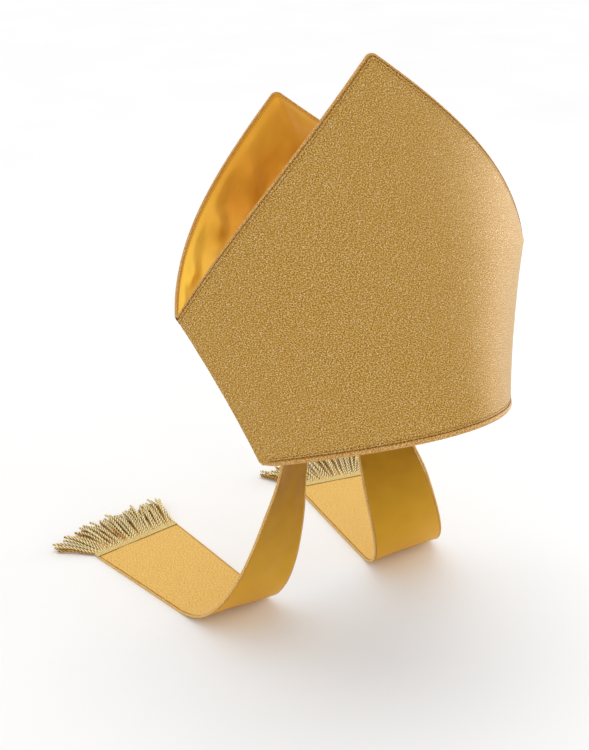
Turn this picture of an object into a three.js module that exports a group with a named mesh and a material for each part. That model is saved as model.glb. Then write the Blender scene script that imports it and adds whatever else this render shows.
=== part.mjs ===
// Bishop mitre: two stiff cloth horns joined at side seams, a satin gusset slung
// between them, corded edges, and two fringed lappets that hang from the back rim.
//
// Units are millimetres and +Z is up. The origin is the centre of the rim, where the
// mitre sits on a head. The wearer faces -Y, and the wearer's left is +X. The mitre
// is worn tilted back, so its own up axis leans by TILT_BACK towards +Y.

import * as THREE from "three";

// ---------------------------------------------------------------- driving sizes

const GAP = 0.3; // clearance between neighbouring pieces
const TILT_BACK = THREE.MathUtils.degToRad(22.83);

const PANEL_THICKNESS = 2.4; // cloth, stiffening and lining together
const SIDE_SLANT = 1.17; // the wall measured across the hat at its slanting sides
const GUSSET_THICKNESS = 1.5;
const LAPPET_THICKNESS = 2.0;

const RIM_CORD = 4.0; // diameters of the corded edges
const HORN_CORD = 2.4;
const LAPPET_CORD = 2.2;

const CORNER_HEIGHT = 121.1; // top of the side seams, in the mitre's own height
const PEAK_HEIGHT = 278.2; // where the two straight edges of a horn would meet
const CORNER_HALF_SPREAD = 186.5; // half width of a flattened panel at the corners
const PEAK_ROUNDING = 7.5; // outer radius of the rounded peak

// Level sections of the hat, a lens x = halfWidth sin(a), y = depth cos(a)^fullness.
const SECTIONS = [
  { height: 0, halfWidth: 113.9, depth: 96.1, fullness: 2.045 },
  { height: CORNER_HEIGHT, halfWidth: 156.6, depth: 85.8, fullness: 1.61 },
  { height: PEAK_HEIGHT, halfWidth: 180.4, depth: 73.6, fullness: 1.333 },
];
const SIDE_SEAM_BOW = -2.1; // how far the side seams bow inwards at mid height
const HORN_BOW = { halfWidth: -8.0, depth: -1.0 };

const TABLE_LEVEL = -196; // the surface that the lower lappets lie on
const LAPPET = {
  rootX: 38, // middle of the root, sideways from the centre of the back rim
  rootWidth: 44,
  endWidth: 84.4,
  length: 322.7, // cloth, from the rim to the fringe
  bendLength: 193.6, // cloth from the rim to where it lies flat
  bendPower: 4.51, // how suddenly the hanging cloth turns onto the table
  bendEase: 18, // cloth on each side of that place over which the turn eases out
  rootLean: 2.9, // degrees that the cloth leans back where it leaves the rim
  endX: 109.7, // middle of the end, as it lies
  endY: 241.8,
  blendLength: 70, // over which the curve of the rim dies out of the cloth
};

// How a lappet turns on its way down: bearing is about Z, splay is in its own plane.
const LAPPET_TURNS = [
  { at: 0, bearing: -36.5, splay: 14.8 },
  { at: LAPPET.bendLength, bearing: 7.7, splay: 16.3 },
  { at: LAPPET.length, bearing: 6.9, splay: 16.3 },
];

const HEADING = { width: 8.6, thickness: 3.2 };
const FRINGE = {
  length: 43,
  rootThickness: 4.4,
  tipThickness: 8, // the loose ends stand off the table
  outerLean: 40, // degrees that the strands fan out at the outer edge
  innerLean: { right: 22, left: 46 },
};

// Soft dents of the gusset: x is across the hat, side is -1 for the front horn and
// 1 for the back one, and along runs from 0 at the edge to 1 at the valley.
const GUSSET_DENTS = [
  { x: -92, side: 1, along: 0.45, depth: 5.0, spread: 26 },
  { x: -34, side: 1, along: 0.35, depth: 6.0, spread: 34 },
  { x: 42, side: 1, along: 0.5, depth: 5.5, spread: 30 },
  { x: 96, side: 1, along: 0.4, depth: 4.5, spread: 24 },
  { x: -64, side: -1, along: 0.45, depth: 5.0, spread: 30 },
  { x: 20, side: -1, along: 0.4, depth: 6.0, spread: 34 },
  { x: 84, side: -1, along: 0.5, depth: 4.5, spread: 26 },
];

const GUSSET = {
  sideReach: 147, // the gusset ends here, where the two horns close on each other
  valleyHeight: 146, // lowest line of the cloth at the middle of the hat
  valleySag: 34, // and how much lower it lies at the sides
  squareness: 1.55, // 1 is a straight V, 2 is a round U
  leastDrop: 8, // from the horns' edges down to the valley
  dentHeight: 0.22, // of each dent, as a share of the way to the valley
};

const PANEL_COLUMNS = 26;
const PANEL_ROWS_BELOW = 5;
const PANEL_ROWS_ABOVE = 12;
const PANEL_ROWS_ROUND = 3;
const GUSSET_COLUMNS = 24;
const GUSSET_STEPS = 14;
const CORD_SIDES = 8;
const RIM_STEPS = 30; // along each half of the rim
const LAPPET_ROWS = 26;
const LAPPET_COLUMNS = 4;
const FRINGE_ROWS = 4;
const FRINGE_COLUMNS = 12;
const EASE_STEPS = 8;

// -------------------------------------------------------------------- materials

const lame = new THREE.MeshStandardMaterial({ color: 0xb88a40, roughness: 0.55, metalness: 0.35 });
const corded = new THREE.MeshStandardMaterial({ color: 0xa9752f, roughness: 0.55, metalness: 0.3 });
const rimCorded = new THREE.MeshStandardMaterial({ color: 0xa8683a, roughness: 0.6, metalness: 0.25 });
const satin = new THREE.MeshStandardMaterial({ color: 0xdca53a, roughness: 0.4, metalness: 0.1 });
const bullion = new THREE.MeshStandardMaterial({ color: 0xcdb072, roughness: 0.5, metalness: 0.4 });

// ------------------------------------------------------------- general geometry

// A closed solid through rings of points. The rings are cross-sections with equal
// counts, counter-clockwise seen from the end that the row of rings runs towards.
// Unless the row closes on itself, each end is capped by pairing the points of its
// ring, first with last, which suits both bands and round sections.
function loft(rings, closed = false) {
  const count = rings[0].length;
  const positions = rings.flat().flatMap((point) => [point.x, point.y, point.z]);
  const faces = [];
  const quad = (a, b, c, d) => faces.push(a, b, c, a, c, d);
  const spans = closed ? rings.length : rings.length - 1;
  for (let row = 0; row < spans; row++) {
    const here = row * count;
    const next = ((row + 1) % rings.length) * count;
    for (let i = 0; i < count; i++) {
      const j = (i + 1) % count;
      quad(here + i, here + j, next + j, next + i);
    }
  }
  const last = (rings.length - 1) * count;
  for (let i = 0; !closed && i < count / 2 - 1; i++) {
    const far = count - 1 - i;
    quad(i, far, far - 1, i + 1);
    quad(last + i, last + i + 1, last + far - 1, last + far);
  }
  const geometry = new THREE.BufferGeometry();
  geometry.setAttribute("position", new THREE.Float32BufferAttribute(positions, 3));
  geometry.setIndex(faces);
  geometry.computeVertexNormals();
  return geometry;
}

// A curve whose steps fall on its points, so that they can be close at a tight turn.
class SteppedPath extends THREE.CatmullRomCurve3 {
  getUtoTmapping(u) {
    return u;
  }
}

// A round cord along a curve through the given points.
function cord(points, diameter) {
  const section = new THREE.Shape();
  section.absarc(0, 0, diameter / 2, 0, Math.PI * 2);
  return new THREE.ExtrudeGeometry(section, {
    steps: points.length - 1,
    curveSegments: CORD_SIDES / 2,
    bevelEnabled: false,
    extrudePath: new SteppedPath(points, false, "centripetal"),
  });
}

// The value of one named column at a position, straight between the table's rows.
function readTable(rows, position, key, column) {
  let row = 0;
  while (row < rows.length - 2 && position > rows[row + 1][key]) {
    row += 1;
  }
  const share = (position - rows[row][key]) / (rows[row + 1][key] - rows[row][key]);
  return THREE.MathUtils.lerp(rows[row][column], rows[row + 1][column], share);
}

// ------------------------------------------------------- the mitre's own surface

// From the mitre's own frame, with height along its leaning axis, to the world.
function stand(x, y, height) {
  return new THREE.Vector3(x, y, height).applyAxisAngle(new THREE.Vector3(1, 0, 0), -TILT_BACK);
}

// The lens-shaped section at a height, its wall taken in by an inset.
function lensAt(height, inset = 0) {
  const below = height <= CORNER_HEIGHT;
  const [low, high] = below ? SECTIONS : SECTIONS.slice(1);
  const bow = below ? { halfWidth: SIDE_SEAM_BOW, depth: 0 } : HORN_BOW;
  const share = (height - low.height) / (high.height - low.height);
  const bulge = 4 * share * (1 - share);
  const between = (size) => THREE.MathUtils.lerp(low[size], high[size], share);
  return {
    halfWidth: between("halfWidth") + bow.halfWidth * bulge - inset * SIDE_SLANT,
    depth: between("depth") + bow.depth * bulge - inset,
    fullness: between("fullness"),
  };
}

function lensPoint(lens, angle) {
  const x = lens.halfWidth * Math.sin(angle);
  const y = lens.depth * Math.max(Math.cos(angle), 0) ** lens.fullness;
  return { x, y };
}

// The angle where the lens comes within half a gap of the plane of the side seams.
function seamAngle(lens) {
  return Math.acos((GAP / 2 / lens.depth) ** (1 / lens.fullness));
}

// The angle at which the lens, measured round its wall from the middle, is so long.
function angleAtLength(lens, length) {
  const divisions = 240;
  let previous = lensPoint(lens, 0);
  let travelled = 0;
  for (let i = 1; i <= divisions; i++) {
    const point = lensPoint(lens, (Math.PI / 2) * (i / divisions));
    const step = Math.hypot(point.x - previous.x, point.y - previous.y);
    if (travelled + step >= length) {
      return (Math.PI / 2) * ((i - 1 + (length - travelled) / step) / divisions);
    }
    travelled += step;
    previous = point;
  }
  return Math.PI / 2;
}

// The edge of a horn on the flattened panel, taken in by an inset. The station runs
// from 0 at the corner to 1 where the rounding begins, and on to 2 at the very peak.
// The spread is measured round the wall from the middle.
const EDGE_SLOPE = Math.atan2(CORNER_HALF_SPREAD, PEAK_HEIGHT - CORNER_HEIGHT);

function hornEdge(station, inset) {
  const radius = PEAK_ROUNDING - inset;
  const centreHeight = PEAK_HEIGHT - PEAK_ROUNDING / Math.sin(EDGE_SLOPE);
  const turn = THREE.MathUtils.lerp(EDGE_SLOPE, Math.PI / 2, Math.max(station - 1, 0));
  const round = new THREE.Vector2(
    radius * Math.cos(turn),
    centreHeight + radius * Math.sin(turn),
  );
  const corner = new THREE.Vector2(
    CORNER_HALF_SPREAD,
    CORNER_HEIGHT - inset / Math.sin(EDGE_SLOPE),
  );
  const point = corner.lerp(round, Math.min(station, 1));
  return { spread: point.x, height: point.y };
}

// Stations from one on the straight edge to one on the rounding, both included.
function edgeStations(first, last) {
  const stations = [];
  for (let i = 0; i <= PANEL_ROWS_ABOVE; i++) {
    stations.push(THREE.MathUtils.lerp(first, 1, i / PANEL_ROWS_ABOVE));
  }
  for (let i = 1; i <= PANEL_ROWS_ROUND; i++) {
    stations.push(THREE.MathUtils.lerp(1, last, i / PANEL_ROWS_ROUND));
  }
  return stations;
}

// ------------------------------------------------------------- the two panels

const PANEL_INSET = HORN_CORD + GAP; // the cloth stops short of its corded edge

// One level row of a panel: a band from seam to seam, or from edge to edge.
function panelRow(height, spread, side) {
  const outer = lensAt(height);
  const inner = lensAt(height, PANEL_THICKNESS);
  const outerEnd = Math.min(seamAngle(outer), angleAtLength(outer, spread));
  const innerEnd = Math.min(seamAngle(inner), outerEnd);
  const ring = [];
  for (let i = 0; i <= PANEL_COLUMNS; i++) {
    const point = lensPoint(outer, outerEnd * ((2 * i) / PANEL_COLUMNS - 1));
    ring.push(stand(-side * point.x, side * point.y, height));
  }
  for (let i = PANEL_COLUMNS; i >= 0; i--) {
    const point = lensPoint(inner, innerEnd * ((2 * i) / PANEL_COLUMNS - 1));
    ring.push(stand(-side * point.x, side * point.y, height));
  }
  return ring;
}

function panel(side) {
  const bottom = RIM_CORD + GAP;
  const corner = hornEdge(0, PANEL_INSET);
  const rows = [];
  for (let i = 0; i <= PANEL_ROWS_BELOW; i++) {
    const height = THREE.MathUtils.lerp(bottom, corner.height, i / PANEL_ROWS_BELOW);
    rows.push(panelRow(height, Infinity, side));
  }
  const topStation = 1.8; // the topmost row, still wide enough to be a solid
  for (const station of edgeStations(0, topStation).slice(1)) {
    const edge = hornEdge(station, PANEL_INSET);
    rows.push(panelRow(edge.height, edge.spread, side));
  }
  return loft(rows);
}

// ---------------------------------------------------------------- corded edges

// The corded edge of a horn, over the peak from one corner to the other.
function hornCord(side) {
  const inset = HORN_CORD / 2;
  const start = 0.012; // clear of the other horn's cord at the corner
  const half = edgeStations(start, 2).map((station) => {
    const edge = hornEdge(station, inset);
    const angle = angleAtLength(lensAt(edge.height), edge.spread);
    const point = lensPoint(lensAt(edge.height, PANEL_THICKNESS / 2), angle);
    return { ...point, height: edge.height };
  });
  const points = half.map((point) => stand(-point.x, side * point.y, point.height));
  half.pop();
  points.push(...half.reverse().map((point) => stand(point.x, side * point.y, point.height)));
  return cord(points, HORN_CORD);
}

// The corded rim, one ring that turns sharply at the foot of each side seam.
function rimCord() {
  const radius = RIM_CORD / 2;
  const lens = lensAt(radius, PANEL_THICKNESS / 2);
  const outline = [];
  for (const side of [-1, 1]) {
    for (let i = 0; i < RIM_STEPS; i++) {
      const point = lensPoint(lens, (Math.PI / 2) * ((2 * i) / RIM_STEPS - 1));
      outline.push(new THREE.Vector2(-side * point.x, side * point.y));
    }
  }
  const rings = outline.map((here, i) => {
    const before = outline[(i + outline.length - 1) % outline.length];
    const after = outline[(i + 1) % outline.length];
    const arrive = here.clone().sub(before).normalize();
    const leave = after.clone().sub(here).normalize();
    const outward = new THREE.Vector2(arrive.y + leave.y, -arrive.x - leave.x).normalize();
    const mitre = 1 / Math.max(outward.dot(new THREE.Vector2(leave.y, -leave.x)), 0.6);
    const ring = [];
    for (let k = 0; k < CORD_SIDES; k++) {
      const turn = (-Math.PI * 2 * (k + 0.5)) / CORD_SIDES;
      const reach = radius * Math.cos(turn) * mitre;
      const point = here.clone().addScaledVector(outward, reach);
      ring.push(stand(point.x, point.y, radius + radius * Math.sin(turn)));
    }
    return ring;
  });
  return loft(rings, true);
}

// ------------------------------------------------------------------- the gusset

// The height at which a horn's edge passes over a place across the hat.
function edgeHeightOver(x) {
  let low = 0;
  let high = 2;
  for (let i = 0; i < 24; i++) {
    const middle = (low + high) / 2;
    const edge = hornEdge(middle, PANEL_INSET);
    const angle = angleAtLength(lensAt(edge.height), edge.spread);
    const point = lensPoint(lensAt(edge.height, PANEL_THICKNESS), angle);
    if (point.x > Math.abs(x)) {
      low = middle;
    } else {
      high = middle;
    }
  }
  return hornEdge(low, PANEL_INSET).height;
}

// One slice of the gusset across the hat, from the front edge down to the valley
// and up to the back edge, with the cloth's thickness on its upper side.
function gussetSlice(x) {
  const top = edgeHeightOver(x);
  const lens = lensAt(top, PANEL_THICKNESS + GAP + GUSSET_THICKNESS);
  const reach = lensPoint(lens, Math.asin(Math.min(Math.abs(x) / lens.halfWidth, 1))).y;
  const lean = Math.abs(x) / GUSSET.sideReach;
  const valley = Math.min(GUSSET.valleyHeight - GUSSET.valleySag * lean ** 2, top - GUSSET.leastDrop);
  const lower = [];
  const upper = [];
  for (let i = 0; i <= GUSSET_STEPS; i++) {
    const turn = (Math.PI * i) / GUSSET_STEPS;
    const side = -Math.sign(Math.cos(turn));
    const power = 2 / GUSSET.squareness;
    const along = Math.sin(turn) ** power;
    let y = side * reach * Math.abs(Math.cos(turn)) ** power;
    const height = top - (top - valley) * along;
    for (const dent of GUSSET_DENTS) {
      const across = Math.exp(-(((x - dent.x) / dent.spread) ** 2));
      const down = Math.exp(-(((along - dent.along) / GUSSET.dentHeight) ** 2));
      y -= dent.side === side ? side * dent.depth * across * down * Math.sin(turn) : 0;
    }
    lower.push(new THREE.Vector2(y, height));
  }
  for (let i = 0; i <= GUSSET_STEPS; i++) {
    const before = lower[Math.max(i - 1, 0)];
    const after = lower[Math.min(i + 1, GUSSET_STEPS)];
    const along = after.clone().sub(before).normalize();
    const over = new THREE.Vector2(-along.y, along.x).multiplyScalar(GUSSET_THICKNESS);
    upper.push(over.add(lower[i]));
  }
  return [...lower, ...upper.reverse()].map((point) => stand(x, point.x, point.y));
}

function gusset() {
  const slices = [];
  for (let i = 0; i <= GUSSET_COLUMNS; i++) {
    slices.push(gussetSlice(GUSSET.sideReach * ((2 * i) / GUSSET_COLUMNS - 1)));
  }
  return loft(slices);
}

// ------------------------------------------------------------------ the lappets

// Where a lappet leaves the rim, across its width from -1 to 1, on the outer side
// of the hat at -X. The mirrored lappet is made from the same points.
function rimPoint(across) {
  const lens = lensAt(0, PANEL_THICKNESS / 2);
  const x = -LAPPET.rootX + across * LAPPET.rootWidth * 0.4;
  const point = lensPoint(lens, Math.asin(x / lens.halfWidth));
  return stand(point.x, point.y, -2 * GAP);
}

// The middle of the cloth where it lies on the table.
const LYING_LEVEL = TABLE_LEVEL + LAPPET_CORD / 2;

// How far the lappet has turned from hanging (0) to lying flat (1).
function turnedAt(at) {
  let sum = 0;
  for (let step = -EASE_STEPS; step <= EASE_STEPS; step++) {
    const near = Math.max(at + (step / EASE_STEPS) * LAPPET.bendEase, 0);
    sum += Math.min(near / LAPPET.bendLength, 1) ** LAPPET.bendPower;
  }
  return sum / (2 * EASE_STEPS + 1);
}

// The lappet's middle line, with its directions, from the rim to the fringe. The
// line is stepped out from the root, then moved so that its end lies on the table.
function lappetLine() {
  const steps = 400;
  const down = new THREE.Vector3(0, 0, -1);
  const stations = [];
  const place = new THREE.Vector3();
  for (let i = 0; i <= steps; i++) {
    const at = (LAPPET.length * i) / steps;
    const lean = THREE.MathUtils.degToRad(LAPPET.rootLean + (90 - LAPPET.rootLean) * turnedAt(at));
    const bearing = THREE.MathUtils.degToRad(readTable(LAPPET_TURNS, at, "at", "bearing"));
    const splay = THREE.MathUtils.degToRad(readTable(LAPPET_TURNS, at, "at", "splay"));
    const away = new THREE.Vector3(Math.sin(bearing), Math.cos(bearing), 0);
    const sideways = new THREE.Vector3(Math.cos(bearing), -Math.sin(bearing), 0);
    const along = down.clone().multiplyScalar(Math.cos(lean)).addScaledVector(away, Math.sin(lean));
    along.multiplyScalar(Math.cos(splay)).addScaledVector(sideways, -Math.sin(splay)).normalize();
    const normal = along.clone().cross(sideways).normalize();
    const across = normal.clone().cross(along).normalize();
    stations.push({ at, place: place.clone(), along, normal, across });
    place.addScaledVector(along, LAPPET.length / steps);
  }
  const end = stations[steps].place;
  const shift = new THREE.Vector3(-LAPPET.endX - end.x, LAPPET.endY - end.y, LYING_LEVEL - end.z);
  stations.forEach((station) => station.place.add(shift));
  return stations;
}

const LAPPET_LINE = lappetLine();

// A point of the lappet's middle sheet, and the directions there.
function lappetPoint(at, across, overhang = 0) {
  const index = Math.round((at / LAPPET.length) * (LAPPET_LINE.length - 1));
  const station = LAPPET_LINE[index];
  const half = THREE.MathUtils.lerp(LAPPET.rootWidth, LAPPET.endWidth, at / LAPPET.length) / 2;
  const free = station.place.clone().addScaledVector(station.across, across * half);
  const hung = rimPoint(across).add(station.place).sub(LAPPET_LINE[0].place);
  const share = THREE.MathUtils.smoothstep(at, 0, LAPPET.blendLength);
  const point = hung.lerp(free, share);
  point.addScaledVector(station.across, Math.sign(across) * overhang);
  point.z = Math.max(point.z, LYING_LEVEL);
  return { ...station, point };
}

// A ring of the right lappet, moved to the left one.
function mirrored(ring) {
  return ring.map((point) => new THREE.Vector3(-point.x, point.y, point.z)).reverse();
}

function lappetSheet(hand) {
  const rings = [];
  for (let row = 0; row <= LAPPET_ROWS; row++) {
    const at = (LAPPET.length * row) / LAPPET_ROWS;
    const front = [];
    const back = [];
    for (let i = 0; i <= LAPPET_COLUMNS; i++) {
      const { point, normal } = lappetPoint(at, (2 * i) / LAPPET_COLUMNS - 1);
      front.push(point.clone().addScaledVector(normal, -LAPPET_THICKNESS / 2));
      back.push(point.clone().addScaledVector(normal, LAPPET_THICKNESS / 2));
    }
    const ring = [...front, ...back.reverse()];
    rings.push(hand < 0 ? ring : mirrored(ring));
  }
  return loft(rings);
}

function lappetCord(hand, edge) {
  const overhang = LAPPET_CORD / 2 + GAP;
  const points = [];
  for (let row = 0; row <= LAPPET_ROWS; row++) {
    const { point } = lappetPoint((LAPPET.length * row) / LAPPET_ROWS, edge, overhang);
    point.x *= -hand;
    points.push(point);
  }
  return cord(points, LAPPET_CORD);
}

// ----------------------------------------------------------- heading and fringe

// The lappet's lying end: its middle, and its level directions.
const LAPPET_END = lappetPoint(LAPPET.length, 0);

// A level band beyond the end of a lappet. rootLine and reach give, across the
// width from -1 to 1, the line that it starts from and the way that it runs.
function levelBand(hand, rows, columns, place, thickness) {
  const rings = [];
  for (let row = 0; row <= rows; row++) {
    const under = [];
    const over = [];
    for (let i = 0; i <= columns; i++) {
      const point = place(row / rows, (2 * i) / columns - 1);
      under.push(new THREE.Vector3(point.x, point.y, TABLE_LEVEL));
      over.push(new THREE.Vector3(point.x, point.y, TABLE_LEVEL + thickness(row / rows)));
    }
    const ring = [...over, ...under.reverse()];
    rings.push(hand < 0 ? ring : mirrored(ring));
  }
  return loft(rings);
}

function endLine(across, beyond) {
  const half = LAPPET.endWidth / 2 + LAPPET_CORD;
  const point = LAPPET_END.point.clone().addScaledVector(LAPPET_END.across, across * half);
  return point.addScaledVector(LAPPET_END.along, beyond);
}

function heading(hand) {
  const place = (share, across) => endLine(across, GAP + share * HEADING.width);
  return levelBand(hand, 1, LAPPET_COLUMNS, place, () => HEADING.thickness);
}

function fringe(name, hand) {
  const place = (share, across) => {
    const lean = THREE.MathUtils.lerp(-FRINGE.outerLean, FRINGE.innerLean[name], (across + 1) / 2);
    const way = LAPPET_END.along.clone();
    way.applyAxisAngle(new THREE.Vector3(0, 0, 1), -THREE.MathUtils.degToRad(lean));
    const root = endLine(across, 2 * GAP + HEADING.width);
    return root.addScaledVector(way, share * FRINGE.length);
  };
  const thickness = (share) => THREE.MathUtils.lerp(FRINGE.rootThickness, FRINGE.tipThickness, share);
  return levelBand(hand, FRINGE_ROWS, FRINGE_COLUMNS, place, thickness);
}

// ---------------------------------------------------------------- the assembly

const mitre = new THREE.Group();

function add(name, geometry, material) {
  const mesh = new THREE.Mesh(geometry, material);
  mesh.name = name;
  mitre.add(mesh);
}

for (const [name, side] of [["front", -1], ["back", 1]]) {
  add(`${name}_panel`, panel(side), lame);
  add(`${name}_horn_cord`, hornCord(side), corded);
}
add("rim_cord", rimCord(), rimCorded);
add("gusset", gusset(), satin);
for (const [name, hand] of [["right", -1], ["left", 1]]) {
  add(`${name}_lappet`, lappetSheet(hand), lame);
  add(`${name}_lappet_outer_cord`, lappetCord(hand, -1), corded);
  add(`${name}_lappet_inner_cord`, lappetCord(hand, 1), corded);
  add(`${name}_fringe_heading`, heading(hand), bullion);
  add(`${name}_fringe`, fringe(name, hand), bullion);
}

export default mitre;
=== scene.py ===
"""Looks of a bishop mitre in gold lame cloth, worn tilted back, with its lappets lying on a table.

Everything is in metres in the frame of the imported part: +Z is up, the wearer faces -Y and the
wearer's left is +X. The origin is the middle of the rim.
"""

import logging
import math
import random
from collections.abc import Callable, Iterable, Sequence
from dataclasses import dataclass, field
from enum import Enum
from functools import lru_cache
from itertools import product

import bmesh
import bpy
import numpy as np
from mathutils import Euler, Matrix, Vector, noise


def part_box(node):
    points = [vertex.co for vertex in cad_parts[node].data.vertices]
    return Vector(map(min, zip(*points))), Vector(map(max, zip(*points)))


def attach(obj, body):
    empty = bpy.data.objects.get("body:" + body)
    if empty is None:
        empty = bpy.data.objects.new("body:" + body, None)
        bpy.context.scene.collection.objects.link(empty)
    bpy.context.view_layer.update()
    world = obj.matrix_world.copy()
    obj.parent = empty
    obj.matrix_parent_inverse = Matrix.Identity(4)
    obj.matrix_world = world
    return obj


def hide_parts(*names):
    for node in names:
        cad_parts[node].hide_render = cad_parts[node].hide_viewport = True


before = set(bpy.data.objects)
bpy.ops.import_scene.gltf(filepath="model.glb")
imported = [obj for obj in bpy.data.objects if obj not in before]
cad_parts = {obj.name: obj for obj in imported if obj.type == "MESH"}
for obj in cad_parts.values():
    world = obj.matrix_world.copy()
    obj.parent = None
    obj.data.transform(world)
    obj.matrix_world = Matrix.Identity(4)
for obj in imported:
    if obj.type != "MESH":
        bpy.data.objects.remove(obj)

LOG = logging.getLogger("mitre")
MM = 0.001
BODY = "root"
LINING = 1  # the material number of a cloth's inner face
ROPE_GIRTH = 0.01  # the turn round a rope, in its cloth coordinates
WELD = 1e-7  # points closer than this become one
WHITE = (1.0, 1.0, 1.0, 1.0)
BLACK = (0.0, 0.0, 0.0, 1.0)

Placer = Callable[[float, float], Vector]
FlatPlacer = Callable[[float, float], tuple[float, float]]
Tone = tuple[int, int, int]
Socket = bpy.types.NodeSocket
Materials = dict[str, bpy.types.Material]


class Side(Enum):
    """The two horns, by the sign of Y on their side of the hat."""

    FRONT = -1
    BACK = 1


class Hand(Enum):
    """The two lappets, by the sign of X on their side of the wearer."""

    RIGHT = -1
    LEFT = 1


def smoothstep(value: float, low: float, high: float) -> float:
    """A soft step.

    Args:
        value: where to read the step.
        low: the value at which it leaves 0.
        high: the value at which it reaches 1.

    Returns:
        A share from 0 to 1.
    """
    share = min(max((value - low) / (high - low), 0.0), 1.0)
    return share * share * (3.0 - 2.0 * share)


def mix(low: float, high: float, share: float) -> float:
    """The value at a share of the way from low to high."""
    return low + (high - low) * share


# ---- Shader helpers ----


def linear(red: int, green: int, blue: int) -> tuple[float, float, float, float]:
    """Turns a display colour into the linear colour that shaders take.

    Args:
        red: red from 0 to 255, as seen on a display.
        green: green from 0 to 255.
        blue: blue from 0 to 255.

    Returns:
        Linear red, green, blue and an alpha of 1.
    """
    channels = [value / 255.0 for value in (red, green, blue)]
    lit = [c / 12.92 if c <= 0.04045 else ((c + 0.055) / 1.055) ** 2.4 for c in channels]
    return (lit[0], lit[1], lit[2], 1.0)


class ShaderSketch:
    """A material being drawn up node by node."""

    def __init__(self, name: str) -> None:
        """Starts an empty material.

        Args:
            name: the material's name.
        """
        self.material = bpy.data.materials.new(name)
        self.material.use_nodes = True
        self.tree = self.material.node_tree
        self.tree.nodes.clear()
        self.output = self.add("ShaderNodeOutputMaterial")

    def add(
        self, kind: str, inputs: dict[str, object] | None = None, **settings: object
    ) -> bpy.types.Node:
        """Adds a node.

        Args:
            kind: the node's type name.
            inputs: values for its sockets, by socket name.
            **settings: values for the node's own properties.

        Returns:
            The new node.
        """
        node = self.tree.nodes.new(kind)
        for key, value in settings.items():
            setattr(node, key, value)
        for key, value in (inputs or {}).items():
            node.inputs[key].default_value = value
        return node

    def link(self, start: Socket, end: Socket) -> None:
        """Joins an output socket to an input socket."""
        self.tree.links.new(start, end)

    def fill(self, pairs: Iterable[tuple[Socket, object]]) -> None:
        """Feeds some sockets.

        Args:
            pairs: each socket with the number, colour or other socket that feeds it.
        """
        for socket, value in pairs:
            if isinstance(value, Socket):
                self.link(value, socket)
            else:
                socket.default_value = value

    def through(
        self, kind: str, start: Socket, end: str, result: str, inputs: dict[str, object] | None = None
    ) -> Socket:
        """Adds a node that works on what comes out of a socket.

        Args:
            kind: the node's type name.
            start: the socket that feeds it.
            end: the name of its socket that is fed.
            result: the name of its socket that is passed on.
            inputs: values for its other sockets, by socket name.

        Returns:
            The socket that is passed on.
        """
        node = self.add(kind, inputs)
        self.link(start, node.inputs[end])
        return node.outputs[result]

    def maths(self, operation: str, *values: Socket | float) -> Socket:
        """Works out a number.

        Args:
            operation: what is done.
            *values: what it is done to, sockets or numbers.

        Returns:
            The number.
        """
        node = self.add("ShaderNodeMath", operation=operation)
        self.fill(zip(node.inputs, values))
        return node.outputs["Value"]

    def cloth_coordinates(self) -> Socket:
        """The piece's own flat coordinates, in metres along the cloth."""
        return self.add("ShaderNodeUVMap", uv_map="cloth").outputs["UV"]

    def on_axis(self, where: Socket, axis: str) -> Socket:
        """One of three coordinates."""
        return self.through("ShaderNodeSeparateXYZ", where, "Vector", axis)

    def stretched(self, start: Socket, scale: tuple[float, float, float], turn: float = 0.0) -> Socket:
        """Coordinates turned about Z and multiplied on each axis.

        Args:
            start: the coordinates.
            scale: the factor for each axis.
            turn: the angle in radians.

        Returns:
            The scaled coordinates.
        """
        for change in ({"Rotation": (0.0, 0.0, turn)}, {"Scale": scale}):
            start = self.through("ShaderNodeMapping", start, "Vector", "Vector", change)
        return start

    def noise_at(self, where: Socket, size: float, detail: float = 1.0) -> Socket:
        """Soft noise with lumps of a size, as a number about 0.5.

        Args:
            where: the coordinates, in metres.
            size: the size of a lump, in metres.
            detail: how many finer octaves it has.

        Returns:
            The noise.
        """
        inputs = {"Scale": 1.0 / size, "Detail": detail, "Roughness": 0.55}
        return self.through("ShaderNodeTexNoise", where, "Vector", "Fac", inputs)

    def grains_at(self, where: Socket, size: float) -> tuple[Socket, Socket]:
        """Cells of a size, each with a random number of its own.

        Args:
            where: the coordinates, in metres.
            size: the size of a cell, in metres.

        Returns:
            The random number of the cell, and the distance from its middle.
        """
        cells = self.add("ShaderNodeTexVoronoi", {"Scale": 1.0 / size, "Randomness": 0.7})
        self.link(where, cells.inputs["Vector"])
        number = self.through("ShaderNodeSeparateColor", cells.outputs["Color"], "Color", "Red")
        return number, cells.outputs["Distance"]

    def ramp(self, start: Socket, stops: Sequence[tuple[float, Sequence[float]]]) -> Socket:
        """Turns a number into a colour.

        Args:
            start: the number.
            stops: positions, each with its linear colour.

        Returns:
            The colour.
        """
        node = self.add("ShaderNodeValToRGB")
        band = node.color_ramp
        while len(band.elements) < len(stops):
            band.elements.new(0.5)
        for element, (position, colour) in zip(band.elements, stops):
            element.position = position
            element.color = colour
        self.link(start, node.inputs["Fac"])
        return node.outputs["Color"]

    def toned(self, start: Socket, shares: Sequence[float], tones: Sequence[Tone]) -> Socket:
        """Turns a number into display colours that lie at some shares."""
        return self.ramp(start, [(share, linear(*tone)) for share, tone in zip(shares, tones)])

    def blend(self, share: Socket | float, low: object, high: object, mode: str = "MIX") -> Socket:
        """Mixes two colours.

        Args:
            share: how much of the second colour there is, a socket or a number.
            low: the first colour, a socket or four numbers.
            high: the second colour, a socket or four numbers.
            mode: how they are mixed.

        Returns:
            The mixed colour.
        """
        node = self.add("ShaderNodeMix", data_type="RGBA", blend_type=mode)
        self.fill(((node.inputs[0], share), (node.inputs[6], low), (node.inputs[7], high)))
        return node.outputs[2]

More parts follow.
